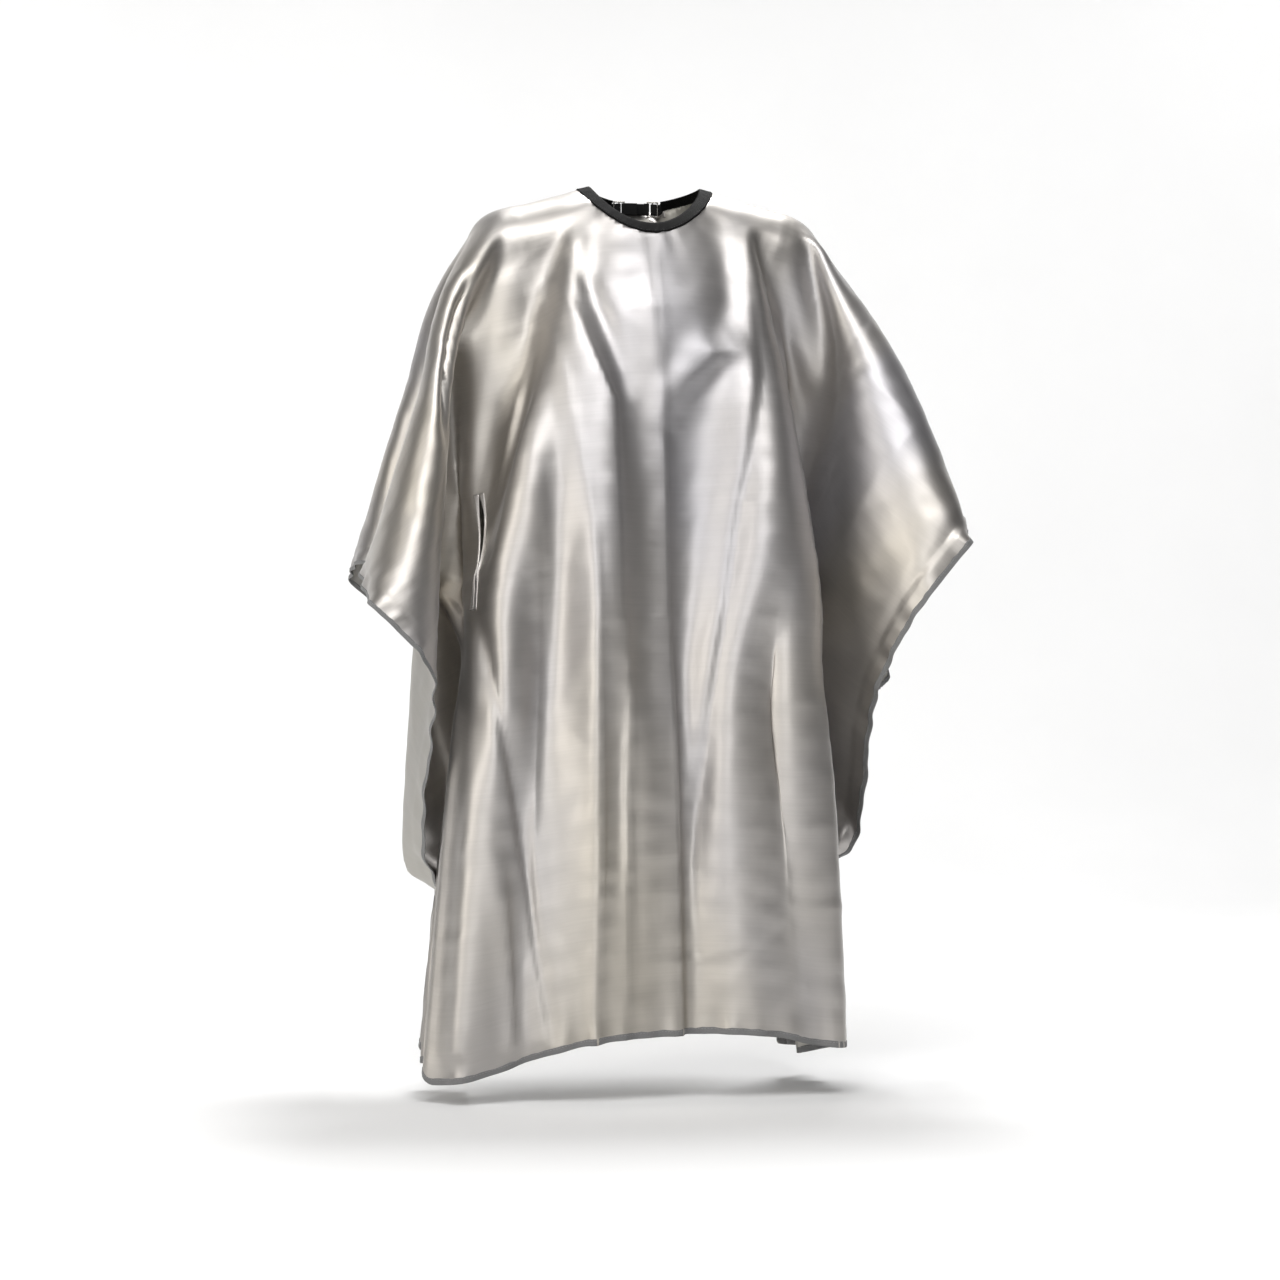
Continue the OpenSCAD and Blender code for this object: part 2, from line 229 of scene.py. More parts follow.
def at_neck(a, s, side, steps):
    """A point at the angle a from the front, the distance s down the cloth from the neck."""
    def turned(t):
        deg = np.degrees(np.abs(a))
        hung = np.where(deg > 180, deg, np.interp(deg, SPREAD_FLAT, SPREAD_HUNG))
        return mix(a, np.sign(a) * np.radians(hung), ease(t / FULL_TURN))

    r = neck_radius(a)
    z = (NECK_SIDE_Z - THROAT_DROP * np.clip(np.cos(a), 0, None) ** 1.5
         - NAPE_DROP * np.clip(-np.cos(a), 0, None) ** 2)
    step = s / steps
    for k in range(steps):
        t = step * k
        across = np.sin(turned(t)) ** 2
        start = mix(*SLOPE_AT_NECK, across)
        finish = SLOPE_HUNG - SLOPE_SHOULDER * across - SLOPE_ARM * across ** 6
        begin = mix(*TURN_FROM, across ** 2)
        slope = np.radians(mix(start, finish, ease((t + step / 2 - begin) / TURN_LENGTH)))
        r = r + step * np.cos(slope)
        z = z - step * np.sin(slope)
    r = r + side * LAP_STEP * ease((np.degrees(np.abs(a)) - 150) / 30)
    t = turned(s)
    return np.stack([r * np.sin(t), -r * np.cos(t), z])


def past_edge(x, y):
    """How far a flat point lies outside the cut, negative inside."""
    qx = np.abs(x) - (CUT_HALF_W - CORNER_R)
    qy = np.abs(y) - (np.where(y > 0, CUT_BACK, CUT_FRONT) - CORNER_R)
    outside = np.hypot(np.maximum(qx, 0), np.maximum(qy, 0))
    return outside + np.minimum(np.maximum(qx, qy), 0) - CORNER_R


def to_corner(x, y):
    """Moves the points of a rounded corner onto its arc."""
    long = np.where(y > 0, CUT_BACK, CUT_FRONT)
    cx, cy = np.sign(x) * (CUT_HALF_W - CORNER_R), np.sign(y) * (long - CORNER_R)
    inside = (np.abs(x) > CUT_HALF_W - CORNER_R) & (np.abs(y) > long - CORNER_R)
    f = CORNER_R / (np.hypot(x - cx, y - cy) + 1e-12)
    return np.where(inside, cx + (x - cx) * f, x), np.where(inside, cy + (y - cy) * f, y)


class Grid:
    """The flat cloth in cells. Rows run from the front hem to the back hem. The columns
    within LAP of the middle are there twice, for the left and the right back edge, and
    the front ties the two copies together."""

    def __init__(self, cell):
        self.cell = cell
        nx = round(CUT_HALF_W / cell)
        self.nx, self.dx = nx, CUT_HALF_W / nx
        self.nf = round(CUT_FRONT / cell)
        self.dyf = CUT_FRONT / self.nf
        nb = round(CUT_BACK / cell)
        self.dyb = CUT_BACK / nb
        self.lap = max(1, round(LAP / self.dx))
        left, right = np.arange(-nx, self.lap + 1), np.arange(-self.lap, nx + 1)
        self.split = len(left)
        self.side = np.concatenate([-np.ones(len(left)), np.ones(len(right))])
        rows = np.concatenate([-CUT_FRONT + np.arange(self.nf) * self.dyf,
                               np.arange(nb + 1) * self.dyb])
        self.x0, self.y0 = np.meshgrid(np.concatenate([left, right]) * self.dx, rows)
        self.rows, self.cols = self.x0.shape
        xc = (self.x0[:-1, :-1] + self.x0[1:, 1:]) / 2
        yc = (self.y0[:-1, :-1] + self.y0[1:, 1:]) / 2
        cells = ((np.hypot(xc / SEAM_HALF_W, yc / SEAM_HALF_D) >= 1)
                 & (past_edge(xc, yc) < -0.15 * cell))
        cells[:, self.split - 1] = False
        self.cells = cells
        count = np.zeros((self.rows, self.cols), int)
        for dj in (0, 1):
            for di in (0, 1):
                count[dj:self.rows - 1 + dj, di:self.cols - 1 + di] += cells
        self.active = count > 0
        edge = self.active & (count < 4)
        ring = np.hypot(self.x0 / SEAM_HALF_W, self.y0 / SEAM_HALF_D)
        self.neck = edge & (np.abs(ring - 1) * SEAM_HALF_D < 1.2 * cell)
        shrink = np.where(self.neck, 1 / np.maximum(ring, 1e-6), 1)
        x, y = self.x0 * shrink, self.y0 * shrink
        sx, sy = to_corner(x, y)
        outer = edge & ~self.neck
        self.x, self.y = np.where(outer, sx, x), np.where(outer, sy, y)
        self.left_copy = slice(self.split - 2 * self.lap - 1, self.split)
        self.right_copy = slice(self.split, self.split + 2 * self.lap + 1)

    def neck_places(self):
        side = np.broadcast_to(self.side, self.x.shape)[self.neck]
        return laid(self.x[self.neck], self.y[self.neck], side)

    def resample(self, coarse, p):
        """The places of this grid's points on a coarser grid's cloth."""
        out = np.zeros((3, self.rows, self.cols))
        row = np.where(self.y0 < 0, (self.y0 + CUT_FRONT) / coarse.dyf,
                       coarse.nf + self.y0 / coarse.dyb)
        row = np.clip(row, 0, coarse.rows - 1.0001)
        for side in (-1, 1):
            cols = np.nonzero(self.side == side)[0]
            base, low, high = ((coarse.nx, 0, coarse.split - 1) if side < 0
                               else (coarse.split + coarse.lap, coarse.split, coarse.cols - 1))
            col = np.clip(self.x0[:, cols] / coarse.dx + base, low, high - 0.0001)
            i, j = col.astype(int), row[:, cols].astype(int)
            u, v = col - i, row[:, cols] - j
            total, weights = 0, 1e-12
            for dj, di, w in ((0, 0, (1 - u) * (1 - v)), (0, 1, u * (1 - v)),
                              (1, 0, (1 - u) * v), (1, 1, u * v)):
                w = (w + 1e-9) * coarse.active[j + dj, i + di]
                total, weights = total + p[:, j + dj, i + di] * w, weights + w
            out[:, :, cols] = total / weights
        out[:, self.neck] = self.neck_places()
        return out


def near_pairs(q, flat, side, reach, flat_reach):
    """Pairs of points closer than reach in space and further than flat_reach on the cloth."""
    c = np.floor(q / reach).astype(np.int64)
    c -= c.min(0) - 1
    _, ny, nz = c.max(0) + 2
    key = (c[:, 0] * ny + c[:, 1]) * nz + c[:, 2]
    order = np.argsort(key, kind="stable")
    ks = key[order]
    n = len(q)
    firsts, seconds = [], []
    near = (-1, 0, 1)
    steps = [(dx * ny + dy) * nz + dz for dx in near for dy in near for dz in near]
    for o in [0] + [o for o in steps if o > 0]:
        low = np.arange(n) + 1 if o == 0 else np.searchsorted(ks, ks + o, side="left")
        high = np.searchsorted(ks, ks + o, side="right")
        m = np.maximum(high - low, 0)
        firsts.append(np.repeat(np.arange(n), m))
        seconds.append(np.arange(m.sum()) - np.repeat(np.cumsum(m) - m, m) + np.repeat(low, m))
    a, b = order[np.concatenate(firsts)], order[np.concatenate(seconds)]
    d = q[a] - q[b]
    keep = (d * d).sum(1) < reach * reach
    a, b = a[keep], b[keep]
    f = flat[a] - flat[b]
    apart = (f * f).sum(1) > flat_reach ** 2
    laps = (side[a] * side[b] < 0) & ((flat[a, 1] > 0) | (flat[b, 1] > 0))
    keep = apart | laps
    return a[keep], b[keep]


class Drape:
    """Position-based cloth: edges and cell diagonals keep their flat length, the stand and
    the cloth itself push it away, and the neck seam stays where the band is."""

    def __init__(self, grid, p):
        self.grid = g = grid
        self.p = p.astype(F4)
        self.was = self.p.copy()
        self.free = (g.active & ~g.neck).astype(F4)
        self.held = self.p[:, g.neck].copy()
        h = np.zeros((g.rows, g.cols - 1), bool)
        h[:-1] |= g.cells
        h[1:] |= g.cells
        v = np.zeros((g.rows - 1, g.cols), bool)
        v[:, :-1] |= g.cells
        v[:, 1:] |= g.cells
        every = slice(None)
        self.links = []
        for q in (0, 1):
            n = len(range(q, g.cols - 1, 2))
            near, far = slice(q, q + 2 * n - 1, 2), slice(q + 1, q + 2 * n, 2)
            self.link((every, near), (every, far), h[:, q::2], 1.0)
            low, high = slice(0, g.rows - 1), slice(1, g.rows)
            self.link((low, near), (high, far), g.cells[:, q::2], SHEAR)
            self.link((high, near), (low, far), g.cells[:, q::2], SHEAR)
            n = len(range(q, g.rows - 1, 2))
            near, far = slice(q, q + 2 * n - 1, 2), slice(q + 1, q + 2 * n, 2)
            self.link((near, every), (far, every), v[q::2], 1.0)
        c, r = g.cols, g.rows
        self.bends = [((every, slice(0, c - 2)), (every, slice(1, c - 1)), (every, slice(2, c)),
                       (h[:, :-1] & h[:, 1:]).astype(F4)),
                      ((slice(0, r - 2), every), (slice(1, r - 1), every), (slice(2, r), every),
                       (v[:-1] & v[1:]).astype(F4))]
        self.ids = np.nonzero(g.active.ravel())[0]
        self.flat = np.stack([g.x.ravel()[self.ids], g.y.ravel()[self.ids]], 1)
        self.side = np.broadcast_to(g.side, g.x.shape).ravel()[self.ids]
        self.first = self.second = np.zeros(0, int)

    def link(self, a, b, there, strength):
        g = self.grid
        wa, wb = self.free[a], self.free[b]
        length = np.hypot(g.x[a] - g.x[b], g.y[a] - g.y[b]).astype(F4)
        share = there * strength / np.maximum(wa + wb, 1)
        self.links.append((a, b, length, (wa * share).astype(F4), (wb * share).astype(F4)))

    def find_pairs(self, reach, flat_reach):
        q = self.p.reshape(3, -1)[:, self.ids].T.astype(float)
        a, b = near_pairs(q, self.flat, self.side, reach, flat_reach)
        self.first, self.second = self.ids[a], self.ids[b]

    def step(self, fall, bend, gap, low, high, guide, pull):
        p, was, g = self.p, self.was, self.grid
        every = slice(None)
        speed = np.clip((p - was) * F4(KEPT_SPEED), -MOST_MOVE * g.cell, MOST_MOVE * g.cell)
        was[...] = p
        p += speed
        p[2] -= F4(fall)
        p[:, g.neck] = self.held
        for a, b, length, ka, kb in self.links:
            pa, pb = p[(every,) + a], p[(every,) + b]
            d = pb - pa
            m = np.sqrt(d[0] * d[0] + d[1] * d[1] + d[2] * d[2]) + F4(1e-9)
            d *= 1 - length / m
            pa += d * ka
            pb -= d * kb
        for a, b, c, there in self.bends:
            pa, pb, pc = p[(every,) + a], p[(every,) + b], p[(every,) + c]
            d = ((pa + pc) * F4(0.5) - pb) * (there * F4(bend / 3))
            pb += 2 * d * self.free[b]
            pa -= d * self.free[a]
            pc -= d * self.free[c]
        p[:2] += (guide[0] - p[:2]) * (guide[1] * F4(pull))
        self.part(gap)
        self.rest_on_stand()
        left, right = p[:, :g.nf, g.left_copy], p[:, :g.nf, g.right_copy]
        left[...] = right[...] = (left + right) / 2
        for k in range(3):
            np.clip(p[k], low[k], high[k], out=p[k])
        p[:, g.neck] = self.held

    def part(self, gap):
        q = self.p.reshape(3, -1)
        a, b = self.first, self.second
        d = q[:, a] - q[:, b]
        m = np.sqrt((d * d).sum(0)) + 1e-9
        close = m < gap
        if not close.any():
            return
        a, b, d = a[close], b[close], d[:, close] * ((gap - m[close]) / m[close] / 2)
        n = q.shape[1]
        count = np.bincount(a, minlength=n) + np.bincount(b, minlength=n)
        ids = np.nonzero(count)[0]
        for k in range(3):
            total = np.bincount(a, d[k], n) - np.bincount(b, d[k], n)
            q[k, ids] += (total[ids] / count[ids] * self.free.ravel()[ids]).astype(F4)

    def rest_on_stand(self):
        p = self.p.copy()
        hit = np.zeros(p.shape[1:], bool)
        for start, end, r0, r1 in CAPSULES:
            a, d = np.array(start, F4), np.array(end, F4) - np.array(start, F4)
            off = p - a[:, None, None]
            t = np.clip((off * d[:, None, None]).sum(0) / F4(d @ d), 0, 1)
            off -= t * d[:, None, None]
            m = np.sqrt((off * off).sum(0)) + F4(1e-9)
            k = np.maximum((mix(r0, r1, t) + STAND_SKIN) / m - 1, 0).astype(F4)
            p += off * k
            hit |= k > 0
        for centre, radii in ELLIPSOIDS:
            rad = (np.array(radii, F4) + F4(STAND_SKIN))[:, None, None]
            v = (p - np.array(centre, F4)[:, None, None]) / rad
            m = np.sqrt((v * v).sum(0)) + F4(1e-9)
            slope = v / rad
            steep = (slope * slope).sum(0) / m + F4(1e-9)
            k = np.maximum((1 - m) / steep, 0).astype(F4)
            p += slope * k
            hit |= k > 0
        self.p[...] = p
        self.was += (p - self.was) * (hit * F4(STAND_GRIP))


def panel_guide(g, folded):
    """Where the lower front is drawn to, seen from above, how strongly, and the share of
    the way there that it starts from."""
    def along(line):
        line = np.array(line)
        far = np.concatenate([[0], np.cumsum(np.hypot(*np.diff(line, axis=0).T))])
        return [np.interp(np.abs(g.x), far, line[:, k]) for k in (0, 1)]

    right, left = along(PANEL_RIGHT), along(PANEL_LEFT)
    gx, gy = [np.where(g.x >= 0, r, l) for r, l in zip(right, left)]
    if folded:
        for x, depth, half in FOLDS:
            gy = gy - depth * np.exp(-((g.x - x) / half) ** 2)
    # the panel narrows upwards, and its middle comes to the cape's
    up = np.clip((g.y + CUT_FRONT) / 0.485, 0, 1)
    narrower = 1 - np.where(g.x < 0, 0.22, 0.14) * up
    middle = PANEL_RIGHT[0][0]
    gx = middle * (1 - up) + (gx - middle) * narrower
    # its sides are only drawn in lower down, below the arms
    outer = ease((np.abs(g.x) - 0.30) / 0.15)
    weight = ease((mix(-0.50, -0.76, outer) - g.y) / mix(0.35, 0.22, outer))
    weight = weight * mix(MIDDLE_PULL[folded], 1, ease((np.abs(g.x) - 0.14) / 0.10))
    start = ease((mix(-0.35, -0.60, outer) - g.y) / 0.35)
    return np.stack([gx, gy]).astype(F4), weight.astype(F4), start


def drape():
    """The draped cloth on the finest level: its grid and the places of its points."""
    # the box that the cloth is kept in
    low = (CAD_LOW.x - 0.020, -0.21, CAD_LOW.z - 0.03)
    high = (CAD_HIGH.x + 0.026, 0.175, CAD_HIGH.z + 0.01)
    rng = np.random.default_rng(7)
    p = None
    for cell, steps, fall0, fall1, bend, gap in LEVELS:
        fine = Grid(cell)
        target, weight, start = panel_guide(fine, cell < LEVELS[0][0])
        if p is None:
            side = np.broadcast_to(fine.side, fine.x.shape)
            p = laid(fine.x.ravel(), fine.y.ravel(), side.ravel()).reshape(3, fine.rows, fine.cols)
            p[:2] = mix(p[:2], target, start)
            p[2] = mix(p[2], fine.y + 0.04, start)
            p[1] += fine.side * 0.006 * np.clip(1 - np.abs(fine.x) / 0.08, 0, 1) * (fine.y > 0)
            p += rng.normal(0, 0.0005, p.shape) * ~fine.neck
            p[:, fine.neck] = fine.neck_places()
        else:
            p = fine.resample(grid, p)
        grid = fine
        cloth = Drape(grid, p)
        pull = GUIDE_PULL * cell / LEVELS[0][0]
        for k in range(steps):
            if k % SEARCH_EVERY == 0:
                cloth.find_pairs(gap * SEARCH_REACH, max(gap * 4.2, cell * 3.3))
            fall = mix(fall0, fall1, min(1, k / steps * 1.3))
            cloth.step(fall, bend, gap, low, high, (target, weight), pull)
        p = cloth.p.astype(float)
    return grid, p


# ---------------------------------------------------------------- dressing
def unit(v, axis=0):
    return v / (np.sqrt((v * v).sum(axis, keepdims=True)) + 1e-12)


def distance_along(points):
    """How far along the line each of its points, (n, dimensions), lies."""
    return np.concatenate([[0], np.cumsum(np.linalg.norm(np.diff(points, axis=0), axis=1))])


class Surface:
    """The draped cloth as a surface that a point of the flat cloth can be looked up on."""

    def __init__(self, grid, p):
        self.grid, self.p = grid, p
        self.normals()

    def normals(self):
        g, p = self.grid, self.p
        a, b = p[:, 1:, 1:] - p[:, :-1, :-1], p[:, 1:, :-1] - p[:, :-1, 1:]
        face = np.cross(a, b, axis=0) * g.cells
        n = np.zeros_like(p)
        for dj in (0, 1):
            for di in (0, 1):
                n[:, dj:g.rows - 1 + dj, di:g.cols - 1 + di] += face
        left, right = n[:, :g.nf, g.left_copy], n[:, :g.nf, g.right_copy]
        left[...] = right[...] = left + right
        self.n = unit(n)

    def at(self, x, y, side):
        """Place and normal of flat points; side says which back part they belong to."""
        g = self.grid
        x, y = np.asarray(x, float), np.asarray(y, float)
        side = np.broadcast_to(side, x.shape)
        row = np.where(y < 0, (y + CUT_FRONT) / g.dyf, g.nf + y / g.dyb)
        col = x / g.dx + np.where(side < 0, g.nx, g.split + g.lap)
        low = np.where(side < 0, 0, g.split)
        high = np.where(side < 0, g.split - 2, g.cols - 2)
        j0 = np.clip(np.floor(row), 0, g.rows - 2).astype(int)
        i0 = np.clip(np.floor(col), low, high).astype(int)
        best = np.full(x.shape, -1e9)
        place, normal = np.zeros((3,) + x.shape), np.zeros((3,) + x.shape)
        for dj in (0, -1, 1, -2, 2):
            for di in (0, -1, 1, -2, 2):
                j, i = np.clip(j0 + dj, 0, g.rows - 2), np.clip(i0 + di, low, high)
                for corners in (((0, 0), (0, 1), (1, 1)), ((0, 0), (1, 1), (1, 0))):
                    ids = [(j + c[0], i + c[1]) for c in corners]
                    (ax, ay), (bx, by), (cx, cy) = [(g.x[q], g.y[q]) for q in ids]
                    area = (bx - ax) * (cy - ay) - (cx - ax) * (by - ay)
                    area = np.where(np.abs(area) < 1e-12, 1e-12, area)
                    wb = ((x - ax) * (cy - ay) - (cx - ax) * (y - ay)) / area
                    wc = ((bx - ax) * (y - ay) - (x - ax) * (by - ay)) / area
                    score = np.minimum(np.minimum(wb, wc), 1 - wb - wc)
                    score = np.where(g.cells[j, i] & (np.abs(area) > 1e-9), score, -1e8)
                    better = score > best
                    w = [1 - wb - wc, wb, wc]
                    for out, values in ((place, self.p), (normal, self.n)):
                        found = sum(values[(slice(None),) + q] * wk for q, wk in zip(ids, w))
                        out[...] = np.where(better, found, out)
                    best = np.where(better, score, best)
        return place, unit(normal)


def noise_1d(t, seed, waves=8, low=1.0, high=4.0):
    """Smooth seeded noise of about unit height along t."""
    rng = np.random.default_rng(seed)
    total = 0
    for _ in range(waves):
        total = total + np.sin(t * rng.uniform(low, high) + rng.uniform(0, PHASES))
    return total / math.sqrt(waves / 2)


def noise_2d(x, y, seed, size, waves=18):
    """The same over the flat cloth, with waves of about this size."""
    rng = np.random.default_rng(seed)
    total = 0
    for _ in range(waves):
        turn = rng.uniform(0, math.tau)
        k = math.tau / (size * rng.uniform(0.7, 1.5))
        along = x * math.cos(turn) + y * math.sin(turn)
        total = total + np.sin(k * along + rng.uniform(0, PHASES))
    return total / math.sqrt(waves / 2)


def relief(x, y):
    """Height of the creases and small wrinkles over the draped surface."""
    h = np.zeros_like(x)
    # each way's creases: how much they fade, bend, and spread, and their noise
    for u, v, creases, even, astray, spread, seed, wave_1, wave_2, waves in (
            (x, y, CREASES_X, 0.65, 0.0012, 0.007, 1000, 7, 9, 5),
            (y, x, CREASES_Y, 0.55, 0.003, 0.006, 3000, 9, 6, 6)):
        for place, height in creases:
            fade = even + (1 - even) * noise_1d(v * wave_1, int(seed + place * 100), waves)
            bend = place + astray * noise_1d(v * wave_2, int(seed + 1000 + place * 100), 5)
            h += height * fade * np.exp(-np.abs(u - bend) / spread)
    rng = np.random.default_rng(41)
    for _ in range(130):
        cx, cy = rng.uniform(-0.62, 0.62), rng.uniform(-1.0, 0.55)
        turn = rng.normal(0.0, 0.5) + (math.pi / 2 if rng.random() < 0.3 else 0)
        length = rng.uniform(0.02, 0.07)
        height = rng.uniform(0.0004, 0.0010) * rng.choice((-1, 1))
        along = (x - cx) * math.cos(turn) + (y - cy) * math.sin(turn)
        across = -(x - cx) * math.sin(turn) + (y - cy) * math.cos(turn)
        across = across + 0.004 * np.sin(along * 40 + cx * 50)
        h += height * np.exp(-(along / length) ** 2 - np.abs(across) / 0.0035)
    h += 0.00022 * noise_2d(x, y, 5, 0.045) + 0.00018 * noise_2d(x, y * 0.35, 6, 0.12)
    edge = -past_edge(x, y)
    around = np.where(np.abs(x) > CUT_HALF_W - 0.03, y, x)
    pucker = noise_1d(around * 95, 8, 10, 0.6, 2.2)
    h += 0.0016 * pucker * np.exp(-np.maximum(edge - 0.006, 0) / 0.024)
    ring = np.hypot(x / SEAM_HALF_W, y / SEAM_HALF_D) * SEAM_HALF_D - SEAM_HALF_D
    turn = np.arctan2(x, -y)
    h += 0.0007 * noise_1d(turn * 9, 9, 9, 0.8, 3.0) * np.exp(-np.maximum(ring, 0) / 0.028)
    return h * ease(ring / 0.008)


def front_folds(surface):
    """Height of the front folds at every grid point, in metres."""
    g, p, n = surface.grid, surface.p, surface.n
    upper = ease((g.y + 0.66) / 0.16)
    # only where the cloth faces forward, in front, and between the sides' returns
    weight = (ease((-n[1] - 0.10) / 0.40) * ease((-0.075 - g.y) / 0.05)
              * ease((mix(0.335, 0.43, upper) - np.abs(g.x)) / 0.07)
              * ease((-p[1] - mix(0.045, 0.0, upper)) / 0.04))
    todo = weight > 0
    x, z = p[0][todo], p[2][todo]
    total = np.zeros_like(x)
    for left, right, line in FRONT_FOLDS:
        best, off, height = np.full_like(x, 1e9), np.zeros_like(x), np.zeros_like(x)
        line = np.array(line) / 1000
        for (ax, az, ah), (bx, bz, bh) in zip(line, line[1:]):
            length = math.hypot(bx - ax, bz - az)
            ux, uz = (bx - ax) / length, (bz - az) / length
            along = np.clip((x - ax) * ux + (z - az) * uz, 0, length)
            away = np.hypot(x - ax - ux * along, z - az - uz * along)
            near = away < best
            best = np.where(near, away, best)
            off = np.where(near, ux * (z - az) - uz * (x - ax), off)
            height = np.where(near, ah + (bh - ah) * along / length, height)
        wide = np.where(off < 0, left, right) / 1000
        # a narrow side is a pressed crease, and a wide one a soft fold
        total += height * np.where(wide < 0.010, np.exp(-best / wide), np.exp(-(best / wide) ** 2))
    result = np.zeros_like(weight)
    result[todo] = total * weight[todo] * mix(1.2, 1.6, ease((-z - 0.45) / 0.3))
    return result


def combed(surface):
    """Smooths the lower front along its length, which takes out the solver's level buckles."""
    g, p = surface.grid, surface.p
    keep = (ease((-0.22 - g.y) / 0.12) * ease((0.40 - np.abs(g.x)) / 0.10) / 4)[1:g.nf - 1]
    for _ in range(60):
        p[:, 1:g.nf - 1] += keep * (p[:, :g.nf - 2] - 2 * p[:, 1:g.nf - 1] + p[:, 2:g.nf])
    surface.normals()


def drawn_in(surface):
    """Draws the wings in and up a little: the real cloth is stiffer there than the solver's."""
    g, p = surface.grid, surface.p
    wing = ease((np.abs(g.x) - 0.26) / 0.16) * (1 - ease((-0.50 - g.y) / 0.35))
    left = g.x < 0
    out = np.maximum(np.abs(p[0]) - 0.20, 0)
    p[0] = p[0] - np.sign(p[0]) * out * np.where(left, *WING_IN) * wing
    lift = WING_UP * wing * np.where(left, ease((-p[2] - 0.30) / 0.40), 1)
    p[2] = p[2] - lift * np.minimum(p[2], 0)
    # the free edge at the nape stands clear of the strap
    turn = np.degrees(np.abs(np.arctan2(g.x, -g.y)))
    ring = np.hypot(g.x / SEAM_HALF_W, g.y / SEAM_HALF_D) * SEAM_HALF_D - SEAM_HALF_D
    nape = ease((turn - 150) / 12) * np.exp(-np.maximum(ring, 0) / 0.030)
    p[1] = p[1] + NAPE_BACK * nape
    p[2] = p[2] - NAPE_DOWN * nape
    # the lower front hangs on the bias towards its sides, so its hem dips there
    front = ease((0.36 - np.abs(g.x)) / 0.05) * ease((-0.45 - g.y) / 0.60)
    dip = np.where(left, HEM_DIP[0] * ease((-g.x - 0.07) / 0.24),
                   HEM_DIP[1] * ease((g.x - 0.06) / 0.18))
    p[2] = p[2] - front * (dip - HEM_RISE)
    surface.normals()


def add_mesh(name, points, faces, material, uv=None):
    """A smooth shaded object. Its UVs are places on the flat cloth or tape, in metres."""
    mesh = bpy.data.meshes.new(name)
    mesh.from_pydata(np.asarray(points).tolist(), [], [list(map(int, f)) for f in faces])
    if uv is not None:
        layer = mesh.uv_layers.new(name="cloth")
        loops = np.zeros(len(mesh.loops), np.int32)
        mesh.loops.foreach_get("vertex_index", loops)
        layer.data.foreach_set("uv", np.asarray(uv, np.float32)[loops].ravel())
    mesh.polygons.foreach_set("use_smooth", np.full(len(mesh.polygons), True))
    mesh.materials.append(material)
    mesh.validate()
    mesh.update()
    obj = bpy.data.objects.new(name, mesh)
    bpy.context.scene.collection.objects.link(obj)
    return obj


def belongs(obj, body, slot, *nodes):
    """Puts the piece on the body it rides on and hides the CAD nodes it stands for. Its finish,
    slot, is not used.
    """
    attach(obj, body)
    if nodes:
        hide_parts(*nodes)
    return obj


def loft(rings):
    """Quads between closed rings of points, (n, m, 3), with flat ends."""
    n, m = rings.shape[:2]
    faces = [(k * m + e, k * m + (e + 1) % m, (k + 1) * m + (e + 1) % m, (k + 1) * m + e)
             for k in range(n - 1) for e in range(m)]
    faces.append(tuple(range(m - 1, -1, -1)))
    faces.append(tuple((n - 1) * m + e for e in range(m)))
    return rings.reshape(-1, 3), faces


def joined(parts):
    """Several (points, faces) as one."""
    points, faces, count = [], [], 0
    for p, f in parts:
        points.append(p)
        faces += [tuple(v + count for v in face) for face in f]
        count += len(p)
    return np.concatenate(points), faces


def strip_uv(far, across):
    """UVs of a loft whose rings lie at the distances far, with the places across on each."""
    return np.stack(np.meshgrid(far, across, indexing="ij"), -1).reshape(-1, 2)


# One stitch, as (distance along it, thickness) in shares, and how deep it sinks at each
STITCH_SHAPE = np.array([(-0.5, 0.35), (-0.36, 0.9), (0.0, 1.0), (0.36, 0.9), (0.5, 0.35)])
STITCH_SUNK = np.array([-0.6, 0.1, 0.35, 0.1, -0.6])
# Length, gap and thread radius of the stitches
HEM_STITCH = (0.0030, 0.0009, 0.00028)
NECK_STITCH = (0.0028, 0.0008, 0.00026)
WELT_STITCH = (0.0028, 0.0008, 0.00024)


def stitches(line, normal, length, gap, radius):
    """Thread stitches along a line of points, (n, 3), that stand on its normals."""
    far = distance_along(line)
    middles = np.arange(length / 2 + gap, far[-1] - length / 2, length + gap)

    def on(values, t):
        return np.stack([np.interp(t, far, values[:, k]) for k in range(3)], -1)

    centre, up = on(line, middles), on(normal, middles)
    ahead = unit(on(line, middles + 0.001) - on(line, middles - 0.001), 1)
    up = unit(up - (up * ahead).sum(1, keepdims=True) * ahead, 1)
    across = np.cross(ahead, up)
    turn = np.linspace(0, math.tau, 5, endpoint=False)
    round_it = (across[:, None, :] * np.cos(turn)[None, :, None]
                + up[:, None, :] * np.sin(turn)[None, :, None])
    rings = np.stack([
        centre[:, None, :] + ahead[:, None, :] * along * length + up[:, None, :] * down
        + radius * wide * round_it
        for (along, wide), down in zip(STITCH_SHAPE, STITCH_SUNK * radius)], 1)
    one = np.array([f for f in loft(rings[0])[1] if len(f) == 4])
    first = np.arange(len(rings)) * rings.shape[1] * rings.shape[2]
    return rings.reshape(-1, 3), (one[None] + first[:, None, None]).reshape(-1, 4)


def both_faces(line, up, lift, stitch):
    """A row of stitches on each face of a tape, at the height lift over its middle."""
    return joined([stitches((line + up * face * lift).T, (up * face).T, *stitch)
                   for face in (1, -1)])


